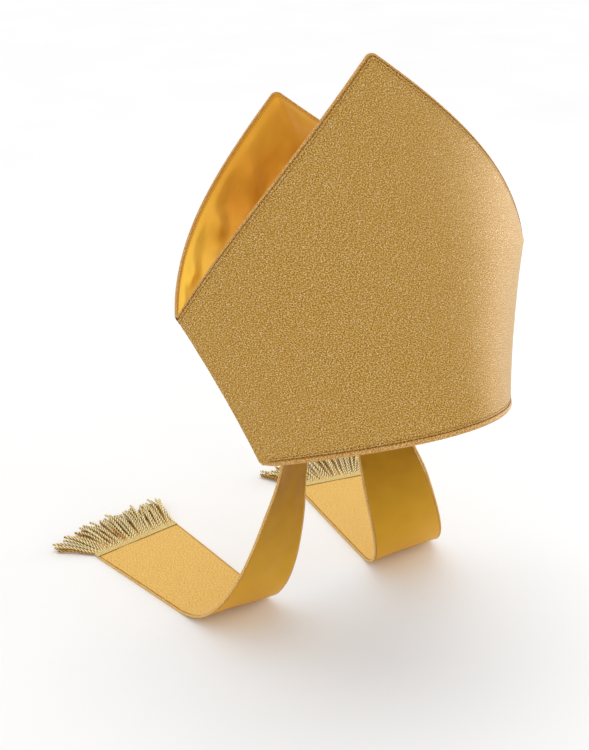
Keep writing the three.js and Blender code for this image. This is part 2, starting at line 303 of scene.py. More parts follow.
    def step(self, start: Socket, zero: float, one: float) -> Socket:
        """A share that runs from 0 where the number is at one value to 1 where it is at another."""
        inputs = {"From Min": zero, "From Max": one}
        return self.through("ShaderNodeMapRange", start, "Value", "Result", inputs)

    def span(self, start: Socket, low: float, high: float, least: float = 0.0) -> Socket:
        """A number from least to 1 stretched over a range."""
        inputs = {"From Min": least, "To Min": low, "To Max": high}
        return self.through("ShaderNodeMapRange", start, "Value", "Result", inputs)

    def bump(self, height: Socket, distance: float, strength: float) -> Socket:
        """A surface normal roughened by a height.

        Args:
            height: the height, about 0 to 1.
            distance: how high 1 stands, in metres.
            strength: the share of it that is used.

        Returns:
            The normal.
        """
        inputs = {"Distance": distance, "Strength": strength}
        return self.through("ShaderNodeBump", height, "Height", "Normal", inputs)

    def surface(self, **sockets: object) -> bpy.types.Material:
        """Ends the sketch with a principled surface.

        Args:
            **sockets: numbers, colours or sockets, by socket name with _ for a space.

        Returns:
            The finished material.
        """
        shader = self.add("ShaderNodeBsdfPrincipled")
        self.fill((shader.inputs[key.replace("_", " ")], value) for key, value in sockets.items())
        self.link(shader.outputs["BSDF"], self.output.inputs["Surface"])
        return self.material


# ---- Finishes ----


@dataclass(frozen=True)
class LameFinish:
    """Gold lame cloth: a tight weave of light and dark threads, with a few grains painted near white as
    glints.
    """

    name: str
    ground: Tone = (190, 147, 65)
    shade: Tone = (180, 134, 54)
    dark: Tone = (148, 100, 34)
    pale: Tone = (224, 189, 116)
    painted_glint: Tone = (246, 240, 222)
    tone_shares: tuple[float, ...] = (0.32, 0.46, 0.54, 0.68)
    grain: float = 0.8 * MM
    grain_edge: tuple[float, float] = (0.42, 0.2)
    stretch: tuple[float, float, float] = (0.8, 1.15, 1.0)
    twill: float = math.radians(32.0)
    painted_glint_share: float = 0.1
    pits: float = 0.1
    ease: float = 0.04
    cloud: float = 14.0 * MM
    cloud_low: tuple[float, ...] = (0.985, 0.98, 0.97, 1.0)
    cloud_high: tuple[float, ...] = (1.01, 1.01, 1.02, 1.0)
    thread: float = 0.5 * MM
    thread_height: float = 0.16 * MM
    roughness: float = 0.48
    metallic: float = 0.26

    def woven(self, sketch: ShaderSketch, weave: Socket, number: Socket, distance: Socket) -> Socket:
        """Colours the weave, thread by thread and grain by grain.

        Args:
            sketch: the material being drawn up.
            weave: the coordinates of the weave.
            number: the random number of each grain.
            distance: the distance from the grain's middle.

        Returns:
            The colour.
        """
        # painted glints: the grains picked by the glint share take a near-white colour that stands in for
        # light glinting off the metal threads
        spot = sketch.step(distance, *self.grain_edge)
        lucky = 1.0 - self.painted_glint_share
        bright = sketch.maths("MULTIPLY", spot, sketch.step(number, lucky - self.ease, lucky + self.ease))
        low, high = self.pits - self.ease, self.pits + self.ease
        sunk = sketch.maths("MULTIPLY", spot, sketch.step(number, high, low))
        wave = sketch.noise_at(weave, self.grain, 0.0)
        threads = sketch.toned(wave, self.tone_shares, (self.dark, self.shade, self.ground, self.pale))
        return sketch.blend(bright, sketch.blend(sunk, threads, linear(*self.dark)), linear(*self.painted_glint))

    def material(self) -> bpy.types.Material:
        """Makes the material.

        Returns:
            The material, which follows the piece's cloth coordinates.
        """
        sketch = ShaderSketch(self.name)
        cloth = sketch.cloth_coordinates()
        weave = sketch.stretched(cloth, self.stretch, self.twill)
        number, distance = sketch.grains_at(weave, self.grain)
        woven = self.woven(sketch, weave, number, distance)
        clouds = sketch.noise_at(cloth, self.cloud)
        mottled = sketch.ramp(clouds, [(0.3, self.cloud_low), (0.7, self.cloud_high)])
        threads = sketch.noise_at(sketch.stretched(cloth, (1.0, 2.0, 1.0)), self.thread)
        relief = sketch.maths("MULTIPLY_ADD", number, 0.5, threads)
        return sketch.surface(
            Base_Color=sketch.blend(1.0, woven, mottled, "MULTIPLY"),
            Roughness=sketch.span(number, self.roughness + 0.08, self.roughness - 0.12),
            Metallic=self.metallic,
            Specular_IOR_Level=0.22,
            Sheen_Weight=0.12,
            Sheen_Roughness=0.35,
            Sheen_Tint=(1.0, 0.86, 0.62, 1.0),
            Normal=sketch.bump(relief, self.thread_height, 0.8),
        )


@dataclass(frozen=True)
class SatinFinish:
    """Satin: smooth, softly shining cloth with a very fine twill.

    Each of its fades paints light: it lightens the cloth towards the outer tone where one of its
    flat coordinates lies between two distances from the middle, standing in for sheen.
    """

    name: str
    deep: Tone = (196, 124, 20)
    light: Tone = (206, 140, 32)
    # outer: the tone of the painted light that the fades lighten the satin to
    outer: Tone = (238, 190, 66)
    painted_light_fades: tuple[tuple[str, float, float], ...] = ()
    cloud: float = 26.0 * MM
    cloud_shares: tuple[float, float] = (0.34, 0.66)
    twill: float = 0.30 * MM
    twill_shade: float = 0.16
    twill_height: float = 0.04 * MM
    roughness: float = 0.36
    metallic: float = 0.4

    def material(self) -> bpy.types.Material:
        """Makes the material.

        Returns:
            The material, which follows the piece's cloth coordinates.
        """
        sketch = ShaderSketch(self.name)
        cloth = sketch.cloth_coordinates()
        clouds = sketch.noise_at(cloth, self.cloud, 2.0)
        colour = sketch.toned(clouds, self.cloud_shares, (self.deep, self.light))
        # painted light: each fade lightens the satin towards the outer tone, standing in for sheen
        for axis, start, end in self.painted_light_fades:
            away = sketch.maths("ABSOLUTE", sketch.on_axis(cloth, axis))
            colour = sketch.blend(sketch.step(away, start, end), colour, linear(*self.outer))
        twill = sketch.noise_at(sketch.stretched(cloth, (0.25, 1.0, 1.0)), self.twill)
        return sketch.surface(
            Base_Color=sketch.blend(sketch.span(twill, 0.0, self.twill_shade), colour, linear(*self.deep)),
            Roughness=sketch.span(twill, self.roughness - 0.05, self.roughness + 0.08),
            Metallic=self.metallic,
            Anisotropic=0.4,
            Specular_IOR_Level=0.2,
            Normal=sketch.bump(twill, self.twill_height, 0.6),
        )


@dataclass(frozen=True)
class ThreadFinish:
    """Sewing thread, ribbed across its run."""

    name: str
    deep: Tone
    light: Tone
    rib: float = 0.5 * MM
    rib_height: float = 0.05 * MM

    def material(self) -> bpy.types.Material:
        """Makes the material.

        Returns:
            The material, which follows the thread's own coordinates.
        """
        sketch = ShaderSketch(self.name)
        ribs = sketch.noise_at(sketch.cloth_coordinates(), self.rib)
        return sketch.surface(
            Base_Color=sketch.toned(ribs, (0.3, 0.7), (self.deep, self.light)),
            Roughness=0.8,
            Specular_IOR_Level=0.1,
            Normal=sketch.bump(ribs, self.rib_height, 0.5),
        )


@dataclass(frozen=True)
class BullionFinish:
    """Metal thread twisted into ropes: bright on the plies, with painted shade in the grooves between them.
    """

    name: str
    # gap: the colour of the grooves between the plies, which is painted shade
    gap: Tone = (150, 86, 22)
    deep: Tone = (255, 232, 150)
    light: Tone = (255, 252, 212)
    groove_shade_end: float = 0.14
    ply_start: float = 0.42
    plies: int = 2
    rib: float = 0.4 * MM
    rib_height: float = 0.10 * MM

    def material(self) -> bpy.types.Material:
        """Makes the material.

        Returns:
            The material, whose first coordinate runs once round the rope in ROPE_GIRTH.
        """
        sketch = ShaderSketch(self.name)
        cloth = sketch.cloth_coordinates()
        turn = sketch.maths("MULTIPLY", sketch.on_axis(cloth, "X"), self.plies * 2.0 * math.pi / ROPE_GIRTH)
        ply = sketch.span(sketch.maths("COSINE", turn), 0.0, 1.0, -1.0)
        ribs = sketch.noise_at(sketch.stretched(cloth, (0.2, 1.0, 1.0)), self.rib)
        metal = sketch.toned(ribs, (0.35, 0.65), (self.deep, self.light))
        # painted shade: between the plies, where the cosine of the twist is low, the gap colour takes over
        share = sketch.ramp(ply, [(self.groove_shade_end, BLACK), (self.ply_start, WHITE)])
        return sketch.surface(
            Base_Color=sketch.blend(share, linear(*self.gap), metal),
            Roughness=sketch.span(ribs, 0.5, 0.34),
            Metallic=0.35,
            Specular_IOR_Level=0.4,
            Normal=sketch.bump(ribs, self.rib_height, 0.7),
        )


@dataclass(frozen=True)
class FloorFinish:
    """A plain matt white studio surface with a faint mottle."""

    name: str = "studio_floor"
    low: tuple[float, ...] = (0.95, 0.95, 0.95, 1.0)
    high: tuple[float, ...] = (0.97, 0.97, 0.97, 1.0)
    mottle: float = 0.15

    def material(self) -> bpy.types.Material:
        """Makes the material.

        Returns:
            The material, which lies still in the room.
        """
        sketch = ShaderSketch(self.name)
        where = sketch.add("ShaderNodeTexCoord").outputs["Object"]
        colour = sketch.ramp(sketch.noise_at(where, self.mottle), [(0.3, self.low), (0.7, self.high)])
        return sketch.surface(Base_Color=colour, Roughness=0.9)


@dataclass(frozen=True)
class Wardrobe:
    """Every finish of the mitre, made once."""

    panel: LameFinish = LameFinish("gold_lame")
    lappet: LameFinish = LameFinish(
        "gold_lame_lappet",
        *((238, 192, 99), (234, 188, 96), (214, 164, 72), (246, 206, 122), (248, 216, 146)),
        grain=1.0 * MM,
    )
    horn_cord: LameFinish = LameFinish(
        "gold_lame_cord", (210, 160, 86), (198, 146, 72), (172, 120, 54), (232, 192, 122), (240, 210, 150)
    )
    rim_cord: LameFinish = LameFinish(
        "gold_lame_rim", (208, 158, 84), (194, 142, 68), (164, 112, 48), (236, 200, 134), (246, 222, 170)
    )
    lappet_cord: LameFinish = LameFinish(
        "gold_lame_lappet_cord",
        *((232, 186, 106), (220, 174, 96), (200, 152, 76), (244, 208, 136), (248, 224, 166)),
    )
    lining: SatinFinish = SatinFinish(
        "satin_lining", deep=(178, 124, 28), light=(200, 146, 44), roughness=0.42
    )
    gusset: SatinFinish = SatinFinish(
        # painted light on the gusset: lighter towards its sides and its sewn edges, where the satin shines
        "satin_gusset", painted_light_fades=(("X", 64.0 * MM, 130.0 * MM), ("Y", 122.0 * MM, 235.0 * MM))
    )
    lappet_lining: SatinFinish = SatinFinish(
        "satin_lappet",
        deep=(160, 110, 10),
        light=(174, 124, 14),
        # painted shade at the lappet's root under the hat, and painted light further down, where the satin
        # faces the white floor
        outer=(240, 184, 50),
        painted_light_fades=(("Y", 40.0 * MM, 170.0 * MM),),
        roughness=0.42,
    )
    satin_stitch: ThreadFinish = ThreadFinish("satin_stitch_thread", (150, 88, 22), (168, 100, 30))
    stitch: ThreadFinish = ThreadFinish("stitch_thread", (108, 54, 16), (136, 78, 28))
    lappet_stitch: ThreadFinish = ThreadFinish("lappet_stitch_thread", (132, 84, 30), (160, 110, 48))
    bullion: BullionFinish = BullionFinish("bullion_thread")
    braid: BullionFinish = BullionFinish(
        "bullion_braid", gap=(164, 114, 46), deep=(252, 220, 142), light=(255, 246, 184)
    )
    # A darker copy of the bullion for the lower layer of strands: painted shade under the upper layer.
    under_bullion: BullionFinish = BullionFinish(
        "bullion_under_painted_shade", gap=(88, 46, 10), deep=(206, 154, 74), light=(236, 190, 108)
    )

    def materials(self) -> Materials:
        """Makes every material.

        Returns:
            The materials, by the name of the field that holds their finish.
        """
        return {key: finish.material() for key, finish in vars(self).items()}


# ---- Mesh helpers ----


def placed(name: str, data: bpy.types.ID) -> bpy.types.Object:
    """Puts a mesh, a light or a camera into the scene.

    Args:
        name: the object's name.
        data: what it shows.

    Returns:
        The new object.
    """
    thing = bpy.data.objects.new(name, data)
    bpy.context.scene.collection.objects.link(thing)
    return thing


def mesh_of(bm: bmesh.types.BMesh, name: str, materials: Sequence[bpy.types.Material]) -> bpy.types.Mesh:
    """Turns a bmesh, which is freed, into a mesh.

    Args:
        bm: the finished mesh.
        name: its name.
        materials: its materials, in the order of its material numbers.

    Returns:
        The mesh.
    """
    mesh = bpy.data.meshes.new(name)
    bm.to_mesh(mesh)
    bm.free()
    for material in materials:
        mesh.materials.append(material)
    return mesh


def finished_piece(
    bm: bmesh.types.BMesh,
    name: str,
    materials: Sequence[bpy.types.Material],
    nodes: Sequence[str] = (),
) -> bpy.types.Object:
    """Turns a bmesh into a piece that rides on the mitre.

    Args:
        bm: the finished mesh, which is freed.
        name: the piece's name.
        materials: its materials, in the order of its material numbers.
        nodes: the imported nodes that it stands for.

    Returns:
        The new object.
    """
    piece = placed(name, mesh_of(bm, name, materials))
    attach(piece, BODY)
    if nodes:
        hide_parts(*nodes)
    LOG.info("%s: %d faces", name, len(piece.data.polygons))
    return piece


class Bundle:
    """Many small meshes gathered into one piece."""

    def __init__(self) -> None:
        """Starts with nothing in it."""
        self.mesh = bmesh.new()
        self.mesh.loops.layers.uv.new("cloth")
        self.scratch = bpy.data.meshes.new("scratch")

    def take(self, small: bmesh.types.BMesh) -> None:
        """Adds a small mesh.

        Args:
            small: the mesh to add, which is freed.
        """
        small.to_mesh(self.scratch)
        self.mesh.from_mesh(self.scratch)
        small.free()

    def finished(self) -> bmesh.types.BMesh:
        """The gathered mesh, with the scratch mesh thrown away."""
        bpy.data.meshes.remove(self.scratch)
        return self.mesh


def grid_patch(
    bm: bmesh.types.BMesh, columns: int, rows: int, place: Placer, flat: FlatPlacer, material: int = 0
) -> None:
    """Lays a grid and moves it into shape, keeping its flat place as cloth coordinates.

    Args:
        bm: the mesh to add to.
        columns: faces across.
        rows: faces along.
        place: gives the place of a point from its shares across and along, both 0 to 1.
        flat: gives its flat coordinates in metres from the same shares.
        material: the faces' material number.
    """
    cloth = bm.loops.layers.uv.get("cloth") or bm.loops.layers.uv.new("cloth")
    made = bmesh.ops.create_grid(bm, x_segments=columns, y_segments=rows, size=0.5)["verts"]
    for face in {face for vert in made for face in vert.link_faces}:
        face.smooth = True
        face.material_index = material
        for loop in face.loops:
            loop[cloth].uv = flat(loop.vert.co.x + 0.5, loop.vert.co.y + 0.5)
    for vert in made:
        vert.co = place(vert.co.x + 0.5, vert.co.y + 0.5)


def cloth_wall(
    columns: int, rows: int, outer: Placer, inner: Placer, flat: FlatPlacer
) -> bmesh.types.BMesh:
    """A closed wall of cloth between two faces of the same cut.

    Args:
        columns: faces across.
        rows: faces along.
        outer: places the outer face.
        inner: places the inner face, which is the lining.
        flat: gives the flat coordinates.

    Returns:
        The closed mesh.
    """
    bm = bmesh.new()
    grid_patch(bm, columns, rows, outer, flat)
    grid_patch(bm, columns, rows, inner, flat, LINING)
    rims = [edge for edge in bm.edges if edge.is_boundary]
    joined = bmesh.ops.bridge_loops(bm, edges=rims)["faces"]
    for edge in rims:
        edge.smooth = False
    for face in joined:
        face.smooth = True
    bmesh.ops.recalc_face_normals(bm, faces=bm.faces[:])
    return bm


def spoke(reach: float, turn: float) -> Vector:
    """The point at a distance and a turn from the middle of a tube."""
    return Vector((reach * math.cos(turn), reach * math.sin(turn), 0.0))


def weld(bm: bmesh.types.BMesh, capped: bool) -> None:
    """Welds a rolled strip into a tube and turns its faces outwards.

    Args:
        bm: the rolled strip.
        capped: whether its ends are closed with a face.
    """
    bmesh.ops.remove_doubles(bm, verts=bm.verts[:], dist=WELD)
    if capped:
        bmesh.ops.holes_fill(bm, edges=[edge for edge in bm.edges if edge.is_boundary], sides=0)
    bmesh.ops.recalc_face_normals(bm, faces=bm.faces[:])


def path_frames(path: Sequence[Vector], closed: bool = False) -> list[Matrix]:
    """Frames along a path that turn as little as they can.

    Args:
        path: the points of the path.
        closed: whether its end runs on into its start.

    Returns:
        A matrix for each point, with Z along the path.
    """
    count = len(path)
    tangents = []
    for i in range(count):
        before = path[(i - 1) % count] if closed or i else path[0]
        after = path[(i + 1) % count] if closed or i < count - 1 else path[-1]
        tangents.append((after - before).normalized())
    helper = Vector((0.0, 0.0, 1.0)) if abs(tangents[0].z) < 0.9 else Vector((0.0, 1.0, 0.0))
    side = tangents[0].cross(helper).normalized()
    frames = []
    for point, tangent in zip(path, tangents):
        side = (side - tangent * side.dot(tangent)).normalized()
        over = tangent.cross(side)
        turn = Matrix((side, over, tangent)).transposed()
        frames.append(Matrix.Translation(point) @ turn.to_4x4())
    return frames


def round_tube(
    path: Sequence[Vector], radius: float, sides: int, closed: bool = False
) -> bmesh.types.BMesh:
    """Rolls a grid round a path into a tube, whose ends stay open.

    Args:
        path: the points along its middle.
        radius: its radius.
        sides: faces round the tube.
        closed: whether the path is a ring.

    Returns:
        The tube's mesh.
    """
    bm = bmesh.new()
    frames = path_frames(path, closed)
    steps = len(path) if closed else len(path) - 1
    total = sum((after - before).length for before, after in zip(path, path[1:]))
    girth = 2.0 * math.pi * radius

    def place(across: float, along: float) -> Vector:
        """The point of the tube at a share round and a share along."""
        return frames[round(along * steps) % len(frames)] @ spoke(radius, 2.0 * math.pi * across)

    grid_patch(bm, sides, steps, place, lambda u, v: (u * girth, v * total))
    weld(bm, capped=False)
    return bm


@dataclass(frozen=True)
class StitchRun:
    """A run of sewn stitches: the length of one, the space between two and the thread's width."""

    length: float = 2.1 * MM
    gap: float = 0.7 * MM
    width: float = 0.42 * MM

    def sewn(self, path: Sequence[Vector], normals: Sequence[Vector], bundle: Bundle) -> None:
        """Lays the run along a path.

        Args:
            path: closely spaced points on the cloth.
            normals: the way out of the cloth at each point.
            bundle: takes the stitches.
        """
        stitch = bmesh.new()
        stitch.loops.layers.uv.new("cloth")
        bmesh.ops.create_uvsphere(stitch, u_segments=6, v_segments=5, radius=0.5, calc_uvs=True)
        for face in stitch.faces:
            face.smooth = True
        points = np.array([list(point) for point in path])
        outs = np.array([list(normal) for normal in normals])
        lengths = np.concatenate([[0.0], np.cumsum(np.linalg.norm(np.diff(points, axis=0), axis=1))])

        def read(values: np.ndarray, at: float) -> Vector:
            """The vector at a length along the path."""
            return Vector([np.interp(at, lengths, values[:, k]) for k in range(3)])

        for i in range(int(lengths[-1] // (self.length + self.gap))):
            start = i * (self.length + self.gap) + self.gap / 2
            middle = start + self.length / 2
            along = (read(points, start + self.length) - read(points, start)).normalized()
            out = read(outs, middle).normalized()
            side = out.cross(along).normalized()
            turn = Matrix((side * self.width, out * self.width, along * self.length)).transposed()
            copy = stitch.copy()
            copy.transform(Matrix.Translation(read(points, middle)) @ turn.to_4x4())
            bundle.take(copy)
        stitch.free()


# ---- The form of the hat ----


@dataclass(frozen=True)
class Lens:
    """A level section of the hat: x = half_width sin(a), y = depth cos(a) ** fullness."""

    height: float
    half_width: float
    depth: float
    fullness: float

    def point(self, angle: float) -> tuple[float, float]:
        """The place across and away from the middle plane at an angle."""
        return self.half_width * math.sin(angle), self.depth * max(math.cos(angle), 0.0) ** self.fullness


@lru_cache(maxsize=4096)
def wall_lengths(half_width: float, depth: float, fullness: float) -> tuple[np.ndarray, np.ndarray]:
    """How far round the wall of a lens each angle lies.

    Args:
        half_width: the lens's half width.
        depth: its depth.
        fullness: its fullness.

    Returns:
        Angles from 0 to a quarter turn, and the wall's length up to each.
    """
    angles = np.linspace(0.0, math.pi / 2, 241)
    x = half_width * np.sin(angles)
    y = depth * np.clip(np.cos(angles), 0.0, 1.0) ** fullness
    return angles, np.concatenate([[0.0], np.cumsum(np.hypot(np.diff(x), np.diff(y)))])


@dataclass(frozen=True)
class HatForm:
    """The shape of the stiff hat, from its flat cut to the worn form."""

    tilt: float = math.radians(22.83)
    gap: float = 0.3 * MM
    seam_gap: float = 0.04 * MM
    wall: float = 2.4 * MM
    side_slant: float = 1.17
    corner_height: float = 121.1 * MM
    peak_height: float = 278.2 * MM
    corner_spread: float = 186.5 * MM
    peak_rounding: float = 7.5 * MM
    seam_bow: float = -2.1 * MM
    horn_bow: tuple[float, float] = (-8.0 * MM, -1.0 * MM)
    rim: Lens = Lens(0.0, 113.9 * MM, 96.1 * MM, 2.045)
    corner: Lens = Lens(121.1 * MM, 156.6 * MM, 85.8 * MM, 1.61)
    peak: Lens = Lens(278.2 * MM, 180.4 * MM, 73.6 * MM, 1.333)

    @property
    def edge_slope(self) -> float:
        """The angle of a horn's straight edge away from the upright."""
        return math.atan2(self.corner_spread, self.peak_height - self.corner_height)

    def stand(self, x: float, y: float, height: float) -> Vector:
        """From the hat's own frame, which leans back, to the world.

        Args:
            x: across the hat.
            y: backwards in the hat's own frame.
            height: up the hat's own axis.

        Returns:
            The point in the world.
        """
        lean, up = math.sin(self.tilt), math.cos(self.tilt)
        return Vector((x, y * up + height * lean, height * up - y * lean))

    def lens(self, height: float, inset: float = 0.0) -> Lens:
        """The section at a height, its wall taken in by an inset.

        Args:
            height: up the hat's own axis.
            inset: how far inside the outer face.

        Returns:
            The section.
        """
        below = height <= self.corner_height
        low, high = (self.rim, self.corner) if below else (self.corner, self.peak)
        share = (height - low.height) / (high.height - low.height)
        bulge = 4.0 * share * (1.0 - share)
        bow = (self.seam_bow, 0.0) if below else self.horn_bow
        return Lens(
            height,
            mix(low.half_width, high.half_width, share) + bow[0] * bulge - inset * self.side_slant,
            mix(low.depth, high.depth, share) + bow[1] * bulge - inset,
            mix(low.fullness, high.fullness, share),
        )

    def angle_at(self, height: float, spread: float) -> float:
        """The angle that lies a length round the wall from the middle.

        Args:
            height: the height of the section.
            spread: the length round its outer wall.

        Returns:
            The angle, with the sign of the spread.
        """
        lens = self.lens(height)
        angles, lengths = wall_lengths(lens.half_width, lens.depth, lens.fullness)
        return math.copysign(float(np.interp(abs(spread), lengths, angles)), spread)

    def seam_angle(self, lens: Lens) -> float:
        """The angle at which a lens comes within half a seam's gap of the side seams' plane."""
        return math.acos((self.seam_gap / 2 / lens.depth) ** (1.0 / lens.fullness))

    def edge(self, station: float, inset: float) -> tuple[float, float]:
        """A point of a horn's edge on the flat cut.

        Args:
            station: 0 at the corner, 1 where the rounding begins, 2 at the peak.
            inset: how far inside the outermost edge.

        Returns:
            The spread round the wall, and the height.
        """
        slope = self.edge_slope
        radius = self.peak_rounding - inset
        centre = self.peak_height - self.peak_rounding / math.sin(slope)
        turn = mix(slope, math.pi / 2, max(station - 1.0, 0.0))
        if radius >= 0.0:
            top = (radius * math.cos(turn), centre + radius * math.sin(turn))
        else:
            top = (0.0, centre + radius / math.sin(slope))
        start = (self.corner_spread, self.corner_height - inset / math.sin(slope))
        share = min(station, 1.0)
        return mix(start[0], top[0], share), mix(start[1], top[1], share)

    def on_wall(self, spread: float, height: float, side: Side, inset: float = 0.0) -> Vector:
        """Rolls a point of the flat cut onto the hat.

        Args:
            spread: round the wall from the middle, towards +X.
            height: up the wall.
            side: the horn.
            inset: how far inside the outer face.

        Returns:
            The point in the world.
        """
        lens = self.lens(height, inset)
        angle = self.angle_at(height, spread)
        limit = self.seam_angle(lens)
        x, y = lens.point(min(max(angle, -limit), limit))
        return self.stand(x, side.value * y, height)

    def outward(self, spread: float, height: float, side: Side) -> Vector:
        """The way straight out of the wall.

        Args:
            spread: round the wall from the middle, towards +X.
            height: up the wall.
            side: the horn.

        Returns:
            The direction, of length 1.
        """
        step = 0.5 * MM
        across = self.on_wall(spread + step, height, side) - self.on_wall(spread - step, height, side)
        up = self.on_wall(spread, height + step, side) - self.on_wall(spread, height - step, side)
        return (across.cross(up) * -side.value).normalized()


# ---- The stiff hat ----


@dataclass
class Panel:
    """One half of the hat: a stiffened cloth wall that runs up into a horn."""

    form: HatForm
    side: Side
    materials: Materials
    cord: float = 2.4 * MM
    rim_cord: float = 4.0 * MM
    columns: int = 120
    rows_below: int = 40
    rows_above: int = 56
    rows_round: int = 6
    top_station: float = 1.8
    unevenness: float = 0.8 * MM
    waves_per_m: float = 14.0
    pucker: float = 0.16 * MM
    puckers_per_m: float = 210.0
    pucker_reach: tuple[float, float] = (5.0 * MM, 6.0 * MM)
    held_width: float = 18.0 * MM
    tuck: float = 0.35 * MM
    edge_wall: float = 1.2 * MM
    edge_taper: float = 9.0 * MM
    rim_width: float = 310.0 * MM
    corner_width: float = 373.0 * MM
    side_height: float = 121.0 * MM
    horn_rise: float = 157.0 * MM

    @property
    def inset(self) -> float:
        """How far the cloth stops short of the outermost edge, tucked a little under the cord."""
        return self.cord - self.tuck

    @property
    def flat_area(self) -> float:
        """The area of the flat cut: a trapezium below the corners and a triangle above them."""
        below = 0.5 * (self.rim_width + self.corner_width) * self.side_height
        return below + 0.5 * self.corner_width * self.horn_rise

    def cut_row(self, row: int) -> tuple[float, float]:
        """A row of the flat cut.

        Args:
            row: its number, from 0 at the rim.

        Returns:
            Its half width and its height.
        """
        corner_spread, corner_height = self.form.edge(0.0, self.inset)
        if row <= self.rows_below:
            height = mix(self.rim_cord - self.tuck, corner_height, row / self.rows_below)
            lens = self.form.lens(height)
            lengths = wall_lengths(lens.half_width, lens.depth, lens.fullness)[1]
            return float(lengths[-1]), height
        above = row - self.rows_below
        if above <= self.rows_above:
            station = above / self.rows_above
        else:
            station = mix(1.0, self.top_station, (above - self.rows_above) / self.rows_round)
        spread, height = self.form.edge(station, self.inset)
        return min(spread, corner_spread), height

    def edge_distance(self, spread: float, height: float) -> float:
        """How far inside the horn's sloping edge a point of the cut lies."""
        slope, top = self.form.edge_slope, self.form.peak_height
        return (top - height) * math.sin(slope) - abs(spread) * math.cos(slope)

    def relief(self, spread: float, height: float, half: float) -> float:
        """How far the cloth stands out of its ideal face.

        Args:
            spread: round the wall.
            height: up the wall.
            half: the row's half width.

        Returns:
            The relief in metres.
        """
        fine, broad = self.puckers_per_m, self.waves_per_m
        soft = noise.noise(Vector((spread * broad, height * broad, 3.0 * self.side.value))) * self.unevenness
        gathers = noise.noise(Vector((spread * fine, height * fine, 7.0))) * self.pucker
        from_edge = min(self.edge_distance(spread, height), half - abs(spread))
        from_rim = height - self.rim_cord
        near = math.exp(-from_edge / self.pucker_reach[0]) + math.exp(-from_rim / self.pucker_reach[1])
        return soft * smoothstep(min(from_edge, from_rim), 0.0, self.held_width) + gathers * near

    def build(self) -> bpy.types.Object:
        """Cuts, rolls and lines the cloth.

        Returns:
            The panel's piece.
        """
        name = f"{self.side.name.lower()}_panel"
        rows = self.rows_below + self.rows_above + self.rows_round
        cut = [self.cut_row(row) for row in range(rows + 1)]

        def flat(u: float, v: float) -> tuple[float, float]:
            """The flat place of a point."""
            half, height = cut[round(v * rows)]
            return (2.0 * u - 1.0) * half, height

        def outer(u: float, v: float) -> Vector:
            """A point of the gold face.

            Args:
                u: the share across the cut.
                v: the share up it.

            Returns:
                The point in the world.
            """
            spread, height = flat(u, v)
            half = cut[round(v * rows)][0]
            return self.form.on_wall(spread, height, self.side, -self.relief(spread, height, half))

        def inner(u: float, v: float) -> Vector:
            """A point of the lined face, which comes closer to the gold one at the horn's edge.

            Args:
                u: the share across the cut.
                v: the share up it.

            Returns:
                The point in the world.
            """
            spread, height = flat(u, v)
            room = smoothstep(self.edge_distance(spread, height), 0.0, self.edge_taper)
            return self.form.on_wall(spread, height, self.side, mix(self.edge_wall, self.form.wall, room))

        bm = cloth_wall(self.columns, rows, outer, inner, flat)
        materials = [self.materials["panel"], self.materials["lining"]]
        piece = finished_piece(bm, f"{name}_cloth", materials, [name])
        self.flat_area
        return piece


@dataclass
class HornEdge:
    """The corded edge of a horn and the stitching beside it."""

    form: HatForm
    side: Side
    materials: Materials
    cord: float = 2.4 * MM
    cord_sides: int = 12
    steps: int = 150
    rounding_steps: int = 8
    start: float = 0.006
    lift: float = 0.04 * MM
    sway: float = 0.2 * MM
    seams: tuple[tuple[float, StitchRun], ...] = (
        # The first run is nearly gapless, a solid dark line: partly seam thread, partly painted shadow of
        # the groove where the cord meets the panel.
        (2.6 * MM, StitchRun(2.8 * MM, 0.1 * MM, 0.62 * MM)),
        (4.9 * MM, StitchRun()),
    )

    def stations(self) -> list[tuple[float, float]]:
        """The way from one corner over the peak to the other.

        Returns:
            Pairs of a side, -1 or 1, and a station of the edge.
        """
        half = [mix(self.start, 1.0, i / self.steps) for i in range(self.steps + 1)]
        half += [1.0 + i / self.rounding_steps for i in range(1, self.rounding_steps + 1)]
        return [(-1.0, s) for s in half] + [(1.0, s) for s in reversed(half[:-1])]

    def line(self, inset: float, depth: float, sway: float = 0.0) -> list[Vector]:
        """A line that runs alongside the edge.

        Args:
            inset: how far from the outermost edge.
            depth: how far inside the outer face.
            sway: how far it strays up and down, which makes it hand sewn.

        Returns:
            Its points, from the corner at -X to the one at +X.
        """
        points = []
        for sign, station in self.stations():
            spread, height = self.form.edge(station, inset)
            height += noise.noise(Vector((sign * 3.0, station * 60.0, inset * 900.0))) * sway
            points.append(self.form.on_wall(sign * spread, height, self.side, depth))
        return points

    def ways_out(self, inset: float) -> list[Vector]:
        """The ways out of the cloth along a line beside the edge.

        Args:
            inset: how far from the outermost edge.

        Returns:
            A direction for each of the line's points.
        """
        edge = [(sign, *self.form.edge(station, inset)) for sign, station in self.stations()]
        return [self.form.outward(sign * spread, height, self.side) for sign, spread, height in edge]

    def build(self) -> list[bpy.types.Object]:
        """Makes the cord and its stitches.

        Returns:
            The two pieces.
        """
        name = f"{self.side.name.lower()}_horn"
        path = self.line(self.cord / 2, self.form.wall / 2)
        bm = round_tube(path, self.cord / 2, self.cord_sides)
        piping = finished_piece(
            bm, f"{name}_piping", [self.materials["horn_cord"]], [f"{name}_cord"]
        )
        sewn = Bundle()
        for inset, run in self.seams:
            run.sewn(self.line(inset, -self.lift, self.sway), self.ways_out(inset), sewn)
        thread = [self.materials["stitch"]]
        return [piping, finished_piece(sewn.finished(), f"{name}_stitches", thread)]


